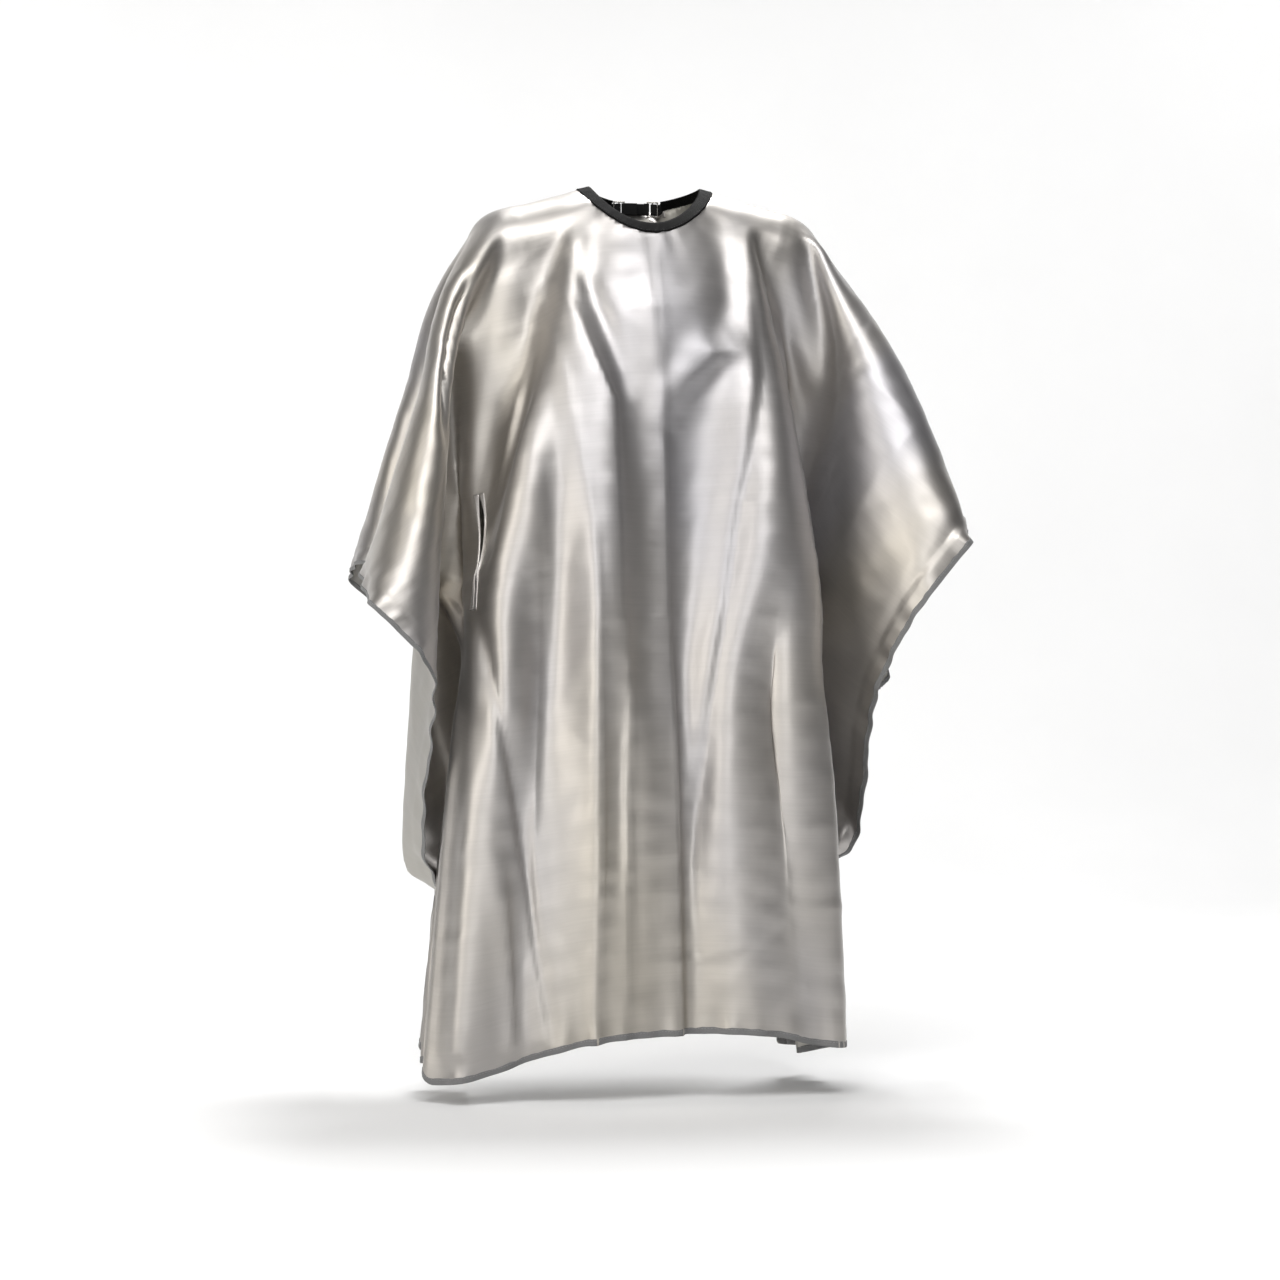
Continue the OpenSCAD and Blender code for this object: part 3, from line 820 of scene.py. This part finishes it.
# Cross-section of a tape folded over an edge, as (distance in from the edge as a share of
# its width, height over the cloth as a share of its thickness)
TAPE_FACE = [(1.0, 0.25), (0.985, 0.8), (0.93, 1.0), (0.72, 0.97), (0.5, 1.0), (0.2, 1.02),
             (0.05, 0.85)]
TAPE_SECTION = TAPE_FACE + [(-0.02, 0.0)] + [(s, -h) for s, h in reversed(TAPE_FACE)]
TAPE_SHARES = np.array([s for s, _ in TAPE_SECTION])
# A tape's inner edge, past this share of its width, isn't cut quite straight
TAPE_INNER = 0.9


def tape_on(surface, x, y, inx, iny, side, width, thick, seed):
    """The rings of a tape folded over the cloth's edge, and how far along each lies. (x, y)
    run along the edge and (inx, iny) point in."""
    rings = []
    far = distance_along(np.stack([x, y], 1))
    wobble = 0.0004 * noise_1d(far * 260, seed, 7, 0.5, 2.0)
    for share, height in TAPE_SECTION:
        d = share * width + (wobble if share > TAPE_INNER else 0)
        place, normal = surface.at(x + inx * d, y + iny * d, side)
        rings.append((place + normal * height * thick).T)
    return np.stack(rings, 1), far


def outline():
    """The bound outer edge on the flat cloth, from the left back opening round the front to
    the right one: places, inward directions and which back part each belongs to."""
    step = 0.004
    runs = []

    def straight(x0, y0, x1, y1, nx, ny, side):
        n = max(2, round(math.hypot(x1 - x0, y1 - y0) / step))
        t = np.linspace(0, 1, n, endpoint=False)
        runs.append((mix(x0, x1, t), mix(y0, y1, t),
                     np.full(n, nx), np.full(n, ny), np.full(n, side)))

    def corner(cx, cy, start, side):
        n = round(CORNER_R * math.pi / 2 / step)
        t = np.radians(start + np.linspace(0, 90, n, endpoint=False))
        runs.append((cx + CORNER_R * np.cos(t), cy + CORNER_R * np.sin(t),
                     -np.cos(t), -np.sin(t), np.full(n, side)))

    w, f, b = CUT_HALF_W, -CUT_FRONT, CUT_BACK
    wc, fc, bc = w - CORNER_R, f + CORNER_R, b - CORNER_R
    straight(LAP, b, -wc, b, 0, -1, -1)
    corner(-wc, bc, 90, -1)
    straight(-w, bc, -w, fc, 1, 0, -1)
    corner(-wc, fc, 180, -1)
    straight(-wc, f, wc, f, 0, 1, 1)
    corner(wc, fc, 270, 1)
    straight(w, fc, w, bc, -1, 0, 1)
    corner(wc, bc, 0, 1)
    straight(wc, b, -LAP, b, 0, -1, 1)
    runs.append(([-LAP], [b], [0], [-1], [1]))
    x, y, inx, iny, side = [np.concatenate(c) for c in zip(*runs)]
    return x, y, inx, iny, np.where((y < 0) & (x < 0), -1, side)


# ---------------------------------------------------------------- materials
def nodes_of(name, **values):
    """A new material with these values on its shader, as (material, node tree, shader)."""
    material = bpy.data.materials.new(name)
    material.use_nodes = True
    shader = material.node_tree.nodes["Principled BSDF"]
    for key, value in values.items():
        shader.inputs[key.replace("_", " ")].default_value = value
    return material, material.node_tree, shader


def add_node(tree, kind, output, inputs=None, **settings):
    """An output of a new node. An input is a socket to link to, or else a value."""
    node = tree.nodes.new(kind)
    for key, value in settings.items():
        setattr(node, key, value)
    for key, value in (inputs or {}).items():
        if isinstance(value, bpy.types.NodeSocket):
            tree.links.new(value, node.inputs[key])
        else:
            node.inputs[key].default_value = value
    return node.outputs[output]


def coords(tree, scale, source):
    where = add_node(tree, "ShaderNodeTexCoord", source)
    return add_node(tree, "ShaderNodeMapping", "Vector", {"Vector": where, "Scale": scale})


def noise(tree, scale, source="UV", detail=3.0, rough=0.5):
    return add_node(tree, "ShaderNodeTexNoise", "Fac",
                    {"Vector": coords(tree, scale, source), "Scale": 1.0, "Detail": detail,
                     "Roughness": rough})


def wave(tree, scale, source):
    return add_node(tree, "ShaderNodeTexWave", "Fac",
                    {"Vector": coords(tree, scale, source), "Scale": 1.0, "Distortion": 0.8,
                     "Detail": 1.0})


def ramp(tree, fac, low, high, a, b):
    colour = add_node(tree, "ShaderNodeValToRGB", "Color", {"Fac": fac})
    for element, at, value in zip(colour.node.color_ramp.elements, (low, high), (a, b)):
        element.position, element.color = at, value
    return colour


def between(tree, fac, low, high, a, b):
    return add_node(tree, "ShaderNodeMapRange", "Result",
                    {"Value": fac, "From Min": low, "From Max": high, "To Min": a, "To Max": b})


def blended(tree, a, b, share=0.5):
    return add_node(tree, "ShaderNodeMix", "Result", {"Factor": share, "A": a, "B": b},
                    data_type="FLOAT")


def finish(tree, shader, colour, rough, height, strength, distance):
    """Links the colour, the roughness and the bump to the shader."""
    tree.links.new(colour, shader.inputs["Base Color"])
    tree.links.new(rough, shader.inputs["Roughness"])
    bump = add_node(tree, "ShaderNodeBump", "Normal",
                    {"Height": height, "Strength": strength, "Distance": distance})
    tree.links.new(bump, shader.inputs["Normal"])


def grey(v, warm=1.0):
    return (v * warm, v, v / warm, 1)


def satin(name, warm, cool, rough, metallic):
    """Satin: long floats across the cloth give fine level streaks and a metallic sheen."""
    material, tree, shader = nodes_of(name, Metallic=metallic, Sheen_Weight=0.12,
                                      Sheen_Roughness=0.4)
    broad = noise(tree, (3.2, 1.3, 1))
    streaks = noise(tree, (26, 620, 1), detail=4, rough=0.6)
    threads = noise(tree, (900, 2600, 1), detail=2)
    tint = ramp(tree, broad, 0.34, 0.66, warm, cool)
    bands = blended(tree, streaks, noise(tree, (7, 260, 1), rough=0.6))
    fine = ramp(tree, bands, 0.36, 0.64, grey(0.93), grey(1.0))
    colour = add_node(tree, "ShaderNodeMix", "Result", {"Factor": 1.0, "A": tint, "B": fine},
                      data_type="RGBA", blend_type="MULTIPLY")
    shine = between(tree, blended(tree, streaks, broad), 0.35, 0.65, rough - 0.035, rough + 0.045)
    finish(tree, shader, colour, shine, blended(tree, streaks, threads, 0.45), 0.18, 0.0006)
    return material


def woven(name, dark, light, rough, ribs, source="UV", sheen=0.1, specular=0.3):
    """Tape, webbing or thread, with ribs to the metre and a grain of fibres."""
    material, tree, shader = nodes_of(name, Sheen_Weight=sheen, Sheen_Roughness=0.5,
                                      Specular_IOR_Level=specular)
    rib = wave(tree, (ribs, 1, 1), source)
    grain = noise(tree, (ribs * 1.7, ribs * 1.7, ribs * 1.7), source)
    colour = ramp(tree, blended(tree, rib, grain), 0.2, 0.8, dark, light)
    shine = between(tree, grain, 0.3, 0.7, rough - 0.06, rough + 0.06)
    finish(tree, shader, colour, shine, blended(tree, rib, grain, 0.4), 0.55, 0.0004)
    return material


def wire_metal(name):
    """Bright plated wire with faint specks."""
    material, tree, shader = nodes_of(name, Metallic=1.0)
    speck = noise(tree, (900, 900, 900), "Object", detail=4)
    colour = ramp(tree, speck, 0.3, 0.7, (0.20, 0.19, 0.175, 1), (0.30, 0.29, 0.27, 1))
    finish(tree, shader, colour, between(tree, speck, 0.3, 0.7, 0.20, 0.34), speck, 0.08, 0.0001)
    return material


SATIN_FACE = satin("satin_face", (0.500, 0.466, 0.412, 1), (0.455, 0.444, 0.456, 1), 0.45, 0.92)
SATIN_BACK = satin("satin_back", (0.44, 0.42, 0.37, 1), (0.41, 0.40, 0.39, 1), 0.50, 0.55)
HEM_TAPE = woven("hem_tape_weave", grey(0.105), grey(0.225), 0.55, 480)
NECK_TAPE = woven("neck_tape_weave", grey(0.0025), grey(0.009, 1.03), 0.62, 520,
                  sheen=0.01, specular=0.06)
WEBBING = woven("webbing_weave", grey(0.003), grey(0.012), 0.62, 700, sheen=0.03, specular=0.12)
HOOKS = woven("touch_tape_nap", grey(0.003), grey(0.016), 0.85, 1500, sheen=0.04, specular=0.12)
GREY_THREAD = woven("grey_thread", grey(0.20), grey(0.33), 0.6, 2500, "Object")
BLACK_THREAD = woven("black_thread", grey(0.008), grey(0.03), 0.55, 2500, "Object")
SATIN_THREAD = woven("satin_thread", grey(0.42, 1.04), grey(0.58, 1.04), 0.5, 2500, "Object")
SLIDE_METAL = wire_metal("slide_metal")

# ---------------------------------------------------------------- the cloth
grid, places = drape()
surface = Surface(grid, places)
combed(surface)
drawn_in(surface)
for height in (front_folds(surface), relief(grid.x, grid.y)):
    surface.p = surface.p + surface.n * height
    surface.normals()


def cloth_mesh():
    """The cape as a mesh: the front's two copies are one, and the hand slits are open."""
    g = grid
    ids = np.arange(g.rows * g.cols).reshape(g.rows, g.cols)
    rows, cols = np.nonzero(g.cells)
    quads = np.stack([ids[rows, cols], ids[rows, cols + 1],
                      ids[rows + 1, cols + 1], ids[rows + 1, cols]], 1)
    same = np.arange(ids.size)
    same[ids[:g.nf, g.right_copy].ravel()] = ids[:g.nf, g.left_copy].ravel()
    quads = same[quads]
    keep = np.sort(np.unique(np.sort(quads, 1), axis=0, return_index=True)[1])
    quads, rows, cols = quads[keep], rows[keep], cols[keep]
    flat = np.stack([g.x.ravel(), g.y.ravel()], 1)
    points = surface.p.reshape(3, -1).T
    across = unit(np.gradient(surface.p, axis=2))
    for side in (-1, 1):
        col = int(np.argmin(np.abs(g.x0[0] - side * SLIT_X) + (g.side != side)))
        lips = [j for j in range(g.rows) if SLIT_FROM < g.y0[j, 0] < SLIT_TO]
        open_by = np.sin(np.linspace(0, math.pi, len(lips) + 2))[1:-1, None] ** SLIT_ROUND
        old = ids[lips, col]
        away = (across[:, lips, col].T * SLIT_GAP / 2
                - side * surface.n[:, lips, col].T * SLIT_LIFT) * open_by
        copies = len(points) + np.arange(len(old))
        points = np.concatenate([points, points[old] + away])
        points[old] -= away
        flat = np.concatenate([flat, flat[old]])
        swap = np.arange(len(points))
        swap[old] = copies
        on_right = (cols == col) & np.isin(rows, [lips[0] - 1] + lips)
        quads[on_right] = swap[quads[on_right]]
    used, quads = np.unique(quads, return_inverse=True)
    return points[used], quads.reshape(-1, 4), flat[used]


points, quads, flat = cloth_mesh()
cape = add_mesh("cape", points, quads, SATIN_FACE, uv=flat)
cape.data.materials.append(SATIN_BACK)
shell = cape.modifiers.new("thickness", "SOLIDIFY")
shell.thickness, shell.offset = CLOTH_T, 0
shell.material_offset, shell.material_offset_rim = 1, 0
shell.use_even_offset = False
belongs(cape, "cape", "satin", "cape_cloth")

# Grey tape round the cut edge, with a row of stitches on both faces
HEM_W, HEM_T = 0.0078, 0.00080
ex, ey, inx, iny, edge_side = outline()
rings, far = tape_on(surface, ex, ey, inx, iny, edge_side, HEM_W, HEM_T, 12)
hem_tape = add_mesh("hem_tape", *loft(rings), HEM_TAPE, uv=strip_uv(far, TAPE_SHARES * HEM_W))
belongs(hem_tape, "cape", "hem_tape", "hem_binding")
row = surface.at(ex + inx * HEM_W * 0.80, ey + iny * HEM_W * 0.80, edge_side)
hem_thread = add_mesh("hem_thread", *both_faces(*row, HEM_T * 0.98, HEM_STITCH), GREY_THREAD)
belongs(hem_thread, "cape", "thread", "hem_stitching")

# ---------------------------------------------------------------- neck band
BAND_T = 0.00125
BAND_STITCH_AT = 0.0150
BAND_STEPS = 12
RING_R = 0.07


def band_at(a, s):
    """Place and outward normal of the neck band's middle surface."""
    def place(da, ds):
        return at_neck(a + da, np.full_like(a, s + ds), np.sign(a), BAND_STEPS)

    n = np.cross(place(0, 0.001) - place(0, -0.001), place(0.01, 0) - place(-0.01, 0), axis=0)
    return place(0, 0), unit(n)


turn = np.linspace(-BAND_END, BAND_END, 300)
rings = []
for share, height in TAPE_SECTION:
    # the tape folds over the top edge, so its share is measured down from there
    wobble = 0.0003 * noise_1d(turn * 24, 15, 7, 0.5, 2.0) if share > TAPE_INNER else 0
    place = at_neck(turn, share * BAND_W + wobble + np.zeros_like(turn), np.sign(turn), BAND_STEPS)
    normal = band_at(turn, share * BAND_W)[1]
    puff = 1 + 0.10 * noise_1d(turn * 30 + share * 3, 16, 8, 0.5, 2.0)
    rings.append((place + normal * height * BAND_T * puff).T)
neck_band = add_mesh("neck_band", *loft(np.stack(rings, 1)), NECK_TAPE,
                     uv=strip_uv(turn * RING_R, TAPE_SHARES * BAND_W))
belongs(neck_band, "cape", "neck_tape", "neck_binding")
row = band_at(turn, BAND_STITCH_AT)
neck_thread = add_mesh("neck_thread", *both_faces(*row, BAND_T, NECK_STITCH), BLACK_THREAD)
belongs(neck_thread, "cape", "thread", "neck_stitching")

# The turned edge of the back opening and of the nape, in the cape's own cloth
FACING_W, NAPE_FACING_W, FACING_T = 0.011, 0.009, 0.0006
FACING_STITCH_AT = 0.0095
LAP_TURN = LAP / SEAM_HALF_W
y_top = SEAM_HALF_D * math.sqrt(1 - LAP_TURN ** 2)
y_end = CUT_BACK - 0.010
facings, facing_thread = [], []
for side in (-1, 1):
    y = np.linspace(y_top + 0.002, y_end, round((y_end - y_top) / 0.004))
    x = np.full_like(y, -side * LAP)
    rings, _ = tape_on(surface, x, y, side, 0, side, FACING_W, FACING_T, 20 + side)
    facings.append(loft(rings))
    line, up = surface.at(x + side * FACING_STITCH_AT, y, side)
    facing_thread.append(stitches((line + up * FACING_T).T, up.T, *HEM_STITCH))
    a = np.linspace(BAND_END - 0.02, math.pi + math.asin(LAP_TURN) * 0.98, 40)
    x, y = side * SEAM_HALF_W * np.sin(a), -SEAM_HALF_D * np.cos(a)
    norm = np.hypot(x, y)
    rings, _ = tape_on(surface, x, y, x / norm, y / norm, side, NAPE_FACING_W, FACING_T, 30 + side)
    facings.append(loft(rings))
facing = belongs(add_mesh("back_facing", *joined(facings), SATIN_FACE), "cape", "satin")
facing_thread = belongs(add_mesh("back_facing_thread", *joined(facing_thread), SATIN_THREAD),
                        "cape", "thread")

# ---------------------------------------------------------------- hand slits
WELT_W, WELT_T, WELT_END = 0.0075, 0.0009, 0.004
WELT_STITCHES_AT = (0.35, 0.85)


def welt(side, lip):
    """One lip's folded edge and its stitches, each as (points, faces)."""
    y = np.linspace(SLIT_FROM - WELT_END, SLIT_TO + WELT_END, 46)
    x = np.full_like(y, side * SLIT_X)
    share_up = np.clip((y - SLIT_FROM) / (SLIT_TO - SLIT_FROM), 0, 1)
    open_by = np.sin(share_up * math.pi) ** SLIT_ROUND
    place, up = surface.at(x, y, side)
    across = unit(surface.at(x + 0.002, y, side)[0] - place)
    shift = (across * lip * SLIT_GAP / 2 - up * side * lip * SLIT_LIFT) * open_by

    def at(share, pull):
        inner, normal = surface.at(x + lip * share * WELT_W, y, side)
        return inner + shift * pull, normal

    rings = []
    for share, height in TAPE_SECTION:
        inner, normal = at(share, np.clip(1 - share, 0, 1))
        rings.append((inner + normal * (height * WELT_T + 0.0001)).T)
    threads = [stitches((inner + normal * WELT_T).T, normal.T, *WELT_STITCH)
               for inner, normal in (at(share, 1 - share) for share in WELT_STITCHES_AT)]
    return loft(np.stack(rings, 1)), joined(threads)


welts = []
for side, node in ((-1, "slit_welt_left"), (1, "slit_welt_right")):
    cloths, threads = zip(*[welt(side, lip) for lip in (-1, 1)])
    cloth = add_mesh(node + "_cloth", *joined(cloths), SATIN_FACE)
    thread = add_mesh(node + "_thread", *joined(threads), SATIN_THREAD)
    welts += [belongs(cloth, "cape", "satin", node), belongs(thread, "cape", "thread")]

# ---------------------------------------------------------------- closure
# The slides' bars, and how far the layers of webbing round them lie from the bars' middles
slide_low, slide_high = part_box("slide_right")
BAR_X, CLOSE_Y, CLOSE_Z = (slide_low + slide_high) / 2
WIRE_R = 0.001
INNER_X = slide_low.x + WIRE_R
STRAP_H, STRAP_T, TAIL_T = 0.015, 0.0011, 0.0009
WRAP_GAP = 0.00035
WRAP_R = WIRE_R + WRAP_GAP + STRAP_T / 2
TAIL_R = WIRE_R + WRAP_GAP + STRAP_T + 0.00015 + TAIL_T / 2


def arc(cx, r, start, end):
    t = np.radians(np.linspace(start, end, 14))
    return np.stack([cx + r * np.cos(t), r * np.sin(t)], 1)


def line_to(a, b, n):
    """Points between a and b, neither of them included."""
    t = np.linspace(0, 1, n, endpoint=False)[1:, None]
    return np.array(a) * (1 - t) + np.array(b) * t


def placed(runs):
    """The runs of a path seen from above, as one path of points at the slides."""
    path = np.concatenate(runs)
    return np.stack([path[:, 0], CLOSE_Y + path[:, 1], np.full(len(path), CLOSE_Z)], 1)


# A quarter of webbing's section, as (share of half its height, share of its thickness)
WEBBING_QUARTER = np.array([(1, 0.12), (0.97, 0.36), (0.88, 0.47), (0.4, 0.5)])


def webbing(name, path, height, thick, body, node, up=(0, 0, 1)):
    """Webbing along a path of points, (n, 3): a rounded flat section with a slight crown."""
    ahead = unit(np.gradient(path, axis=0), 1)
    up = np.broadcast_to(up, path.shape)
    out = unit(np.cross(up, ahead), 1)
    q, back = WEBBING_QUARTER, WEBBING_QUARTER[::-1]
    section = np.roll(np.concatenate([q, back * (-1, 1), -q, back * (1, -1)]), 1, axis=0)
    section *= (height / 2, thick)
    rings = np.stack([path + up * z + out * t for z, t in section], 1)
    obj = add_mesh(name, *loft(rings), WEBBING, uv=strip_uv(distance_along(path), section[:, 0]))
    return belongs(obj, body, "webbing", node)


strap_path = placed([
    line_to((0.0035 - INNER_X, -WRAP_R), (-INNER_X, -WRAP_R), 6), arc(-INNER_X, WRAP_R, 270, 90),
    line_to((-INNER_X, WRAP_R), (INNER_X, WRAP_R), 26), arc(INNER_X, WRAP_R, 90, -90),
    line_to((INNER_X, -WRAP_R), (INNER_X - 0.0060, -WRAP_R), 6)])
webbing("strap_webbing", strap_path, STRAP_H, STRAP_T, "strap", "strap")
tail_path = placed([line_to((0.002, -TAIL_R), (-INNER_X, -TAIL_R), 22),
                    arc(-INNER_X, TAIL_R, 270, 186)])
webbing("tail_webbing", tail_path, STRAP_H, TAIL_T, "tail", "strap_tail")

# Hooks and loops: the distance between them and their height
NAP_SPACING, NAP_H = 0.0008, 0.0004


def nap_patch(name, node, body, direction, seed, width):
    """A touch-and-close patch: a backing with a field of small hooks or loops."""
    low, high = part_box(node)
    xs = np.arange(low.x + NAP_SPACING, high.x - NAP_SPACING, NAP_SPACING)
    zs = np.arange(low.z + NAP_SPACING, high.z - NAP_SPACING, NAP_SPACING)
    rng = np.random.default_rng(seed)
    gx, gz = [q.ravel() for q in np.meshgrid(xs, zs)]
    gx = gx + rng.uniform(-0.2, 0.2, gx.shape) * NAP_SPACING
    gz = gz + rng.uniform(-0.2, 0.2, gz.shape) * NAP_SPACING
    back, face = (low.y, high.y) if direction > 0 else (high.y, low.y)
    foot = face - direction * NAP_H
    corners = ((low.x, low.z), (high.x, low.z), (high.x, high.z), (low.x, high.z))
    rings = np.array([[(x, y, z) for x, z in corners] for y in (back, mix(back, foot, 0.8), foot)])
    rings[2] += np.array([(1, 0, 1), (-1, 0, 1), (-1, 0, -1), (1, 0, -1)]) * 0.0003
    base_points, base_faces = loft(rings)
    tips = np.stack([gx + width * 0.6, np.full_like(gx, face), gz], 1)
    feet = np.stack([gx, np.full_like(gx, foot), gz], 1)
    offs = np.array([(1, 0, 0), (-0.5, 0, 0.8), (-0.5, 0, -0.8)]) * width
    cone = np.concatenate([feet[:, None] + offs, tips[:, None]], 1)
    first = np.arange(len(cone))[:, None, None] * 4 + len(base_points)
    tris = (np.array([(0, 1, 3), (1, 2, 3), (2, 0, 3)])[None] + first).reshape(-1, 3)
    points = np.concatenate([base_points, cone.reshape(-1, 3)])
    obj = add_mesh(name, points, base_faces + [tuple(t) for t in tris], HOOKS,
                   uv=points[:, [0, 2]])
    belongs(obj, body, "touch_tape", node)


nap_patch("loop_nap", "loop_patch", "strap", -1, 51, 0.00022)
nap_patch("hook_nap", "hook_patch", "tail", 1, 52, 0.00018)

# Webbing tabs from the ends of the neck band, sewn round the slides' centre bars
TAB_H, TAB_TURN_IN, TAB_RUN = 0.0138, 0.0055, 0.0095
for side, node, turn in ((-1, "tab_left", (-90, 90)), (1, "tab_right", (270, 90))):
    bar = side * BAR_X
    middle, top, low = [at_neck(side * (BAND_END - 0.02), s, side, BAND_STEPS)
                        for s in (0.0085, 0.001, 0.016)]
    run = placed([line_to((bar + side * TAB_TURN_IN, -WRAP_R), (bar, -WRAP_R), 6),
                  arc(bar, WRAP_R, *turn),
                  line_to((bar, WRAP_R), (bar + side * TAB_RUN, WRAP_R), 6)])
    t = np.linspace(0, 1, 9)[:, None]
    onward = mix(placed([[(bar + side * TAB_RUN, WRAP_R)]]), middle, t)
    tilt = np.concatenate([np.zeros((len(run), 1)), ease(t)])
    up = unit(mix(np.array([0, 0, 1.0]), unit(top - low), tilt), 1)
    webbing(node + "_webbing", np.concatenate([run, onward]), TAB_H, STRAP_T, "cape", node, up)


def bar_tack(name, node, body, runs=22, radius=0.00022):
    """A dense zigzag of thread across the webbing, in the place of its CAD block."""
    low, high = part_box(node)
    zs = np.linspace(low.z, high.z, runs + 1)
    xs = np.where(np.arange(runs + 1) % 2, low.x + 0.0003, high.x - 0.0003)
    out = np.array([0, 1.0, 0])
    turn = np.linspace(0, math.tau, 6, endpoint=False)
    ends = np.stack([xs, np.full_like(xs, high.y - 0.0003), zs], 1)
    parts = []
    for a, b in zip(ends, ends[1:]):
        across = np.cross(unit(b - a), out)
        round_it = across * np.cos(turn)[:, None] + out * np.sin(turn)[:, None]
        parts.append(loft(np.stack([
            (a + b) / 2 + (b - a) * s + out * (0.00012 if abs(s) < 0.4 else -0.0001)
            + radius * w * round_it for s, w in STITCH_SHAPE])))
    belongs(add_mesh(name, *joined(parts), BLACK_THREAD), body, "thread", node)


bar_tack("left_bar_tack", "tack_left", "cape")
bar_tack("right_bar_tack", "tack_right", "cape")
bar_tack("strap_bar_tack", "strap_tack", "strap")

for node in ("slide_left", "slide_right"):
    obj = frame["nodes"][node]
    obj.data.materials.clear()
    obj.data.materials.append(SLIDE_METAL)

# ---------------------------------------------------------------- studio
FLOOR_Z = CAD_LOW.z - 0.035
MIDDLE = Vector((-0.005, 0, (CAD_LOW.z + CAD_HIGH.z) / 2 - 0.023))


def studio_floor():
    """A pale floor that curves up into a backdrop."""
    radius, bend_y = 1.5, 2.2
    profile = [(-6.0, 0.0), (bend_y, 0.0)]
    profile += [(bend_y + radius * math.sin(t), radius - radius * math.cos(t))
                for t in np.radians(np.arange(6, 91, 6))]
    profile.append((bend_y + radius, 6.0))
    points = [(x, y, FLOOR_Z + z) for x in np.linspace(-7, 7, 9) for y, z in profile]
    m = len(profile)
    faces = [(k, k + m, k + m + 1, k + 1) for i in range(8) for k in range(i * m, i * m + m - 1)]
    material, tree, shader = nodes_of("studio_floor", Roughness=0.9, Specular_IOR_Level=0.1)
    pale = ramp(tree, noise(tree, (2, 2, 2), "Object"), 0.3, 0.7, grey(0.86), grey(0.88))
    tree.links.new(pale, shader.inputs["Base Color"])
    return add_mesh("studio_floor", points, faces, material)


studio_floor()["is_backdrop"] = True


def aimed(name, data, place, target):
    """An object at place that looks at target."""
    obj = bpy.data.objects.new(name, data)
    bpy.context.scene.collection.objects.link(obj)
    obj.location = place
    obj.rotation_mode = "QUATERNION"
    obj.rotation_quaternion = (Vector(target) - Vector(place)).to_track_quat("-Z", "Y")
    return obj


def soft_box(name, place, size, power, target=(0, 0, -0.5), warm=1.0):
    light = bpy.data.lights.new(name, "AREA")
    light.shape, light.size, light.size_y, light.energy = "RECTANGLE", size[0], size[1], power
    light.color = (1.0, (2 + 1 / warm) / 3, 1 / warm)
    aimed(name, light, place, target)


soft_box("key", (-2.7, -1.6, 0.2), (1.0, 2.4), 34, warm=1.09)
soft_box("front", (-1.4, -3.5, 0.2), (1.2, 2.4), 32)
soft_box("chest", (-0.35, -2.7, 2.55), (2.5, 1.7), 104)
soft_box("top", (0.45, 1.1, 2.5), (1.0, 1.0), 90)
soft_box("backdrop_left", (-3.2, 1.2, 2.2), (1.5, 2.5), 62, (-2.64, 4, 1.78))
soft_box("backdrop_right", (3.2, 1.2, 2.2), (1.5, 2.5), 62, (2.64, 4, 1.78))

scene = bpy.context.scene
scene.world = bpy.data.worlds.new("studio")
scene.world.use_nodes = True
ambient = scene.world.node_tree.nodes["Background"].inputs
ambient["Color"].default_value = (1, 1, 1, 1)
ambient["Strength"].default_value = 0.06

# The camera stands a little to the cape's right hand side, level with its middle
AZIMUTH, DISTANCE, FRAME_W, SENSOR = math.radians(-9), 3.78, 1.6, 36
stand = MIDDLE + Vector((math.sin(AZIMUTH), -math.cos(AZIMUTH), 0)) * DISTANCE
camera = aimed("camera", bpy.data.cameras.new("camera"), stand, MIDDLE)
camera.data.sensor_width, camera.data.lens = SENSOR, SENSOR * DISTANCE / FRAME_W
scene.camera = camera

# Plain display colours, so that the white ground and the black tape keep their values
scene.view_settings.view_transform = "Standard"

low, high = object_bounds()
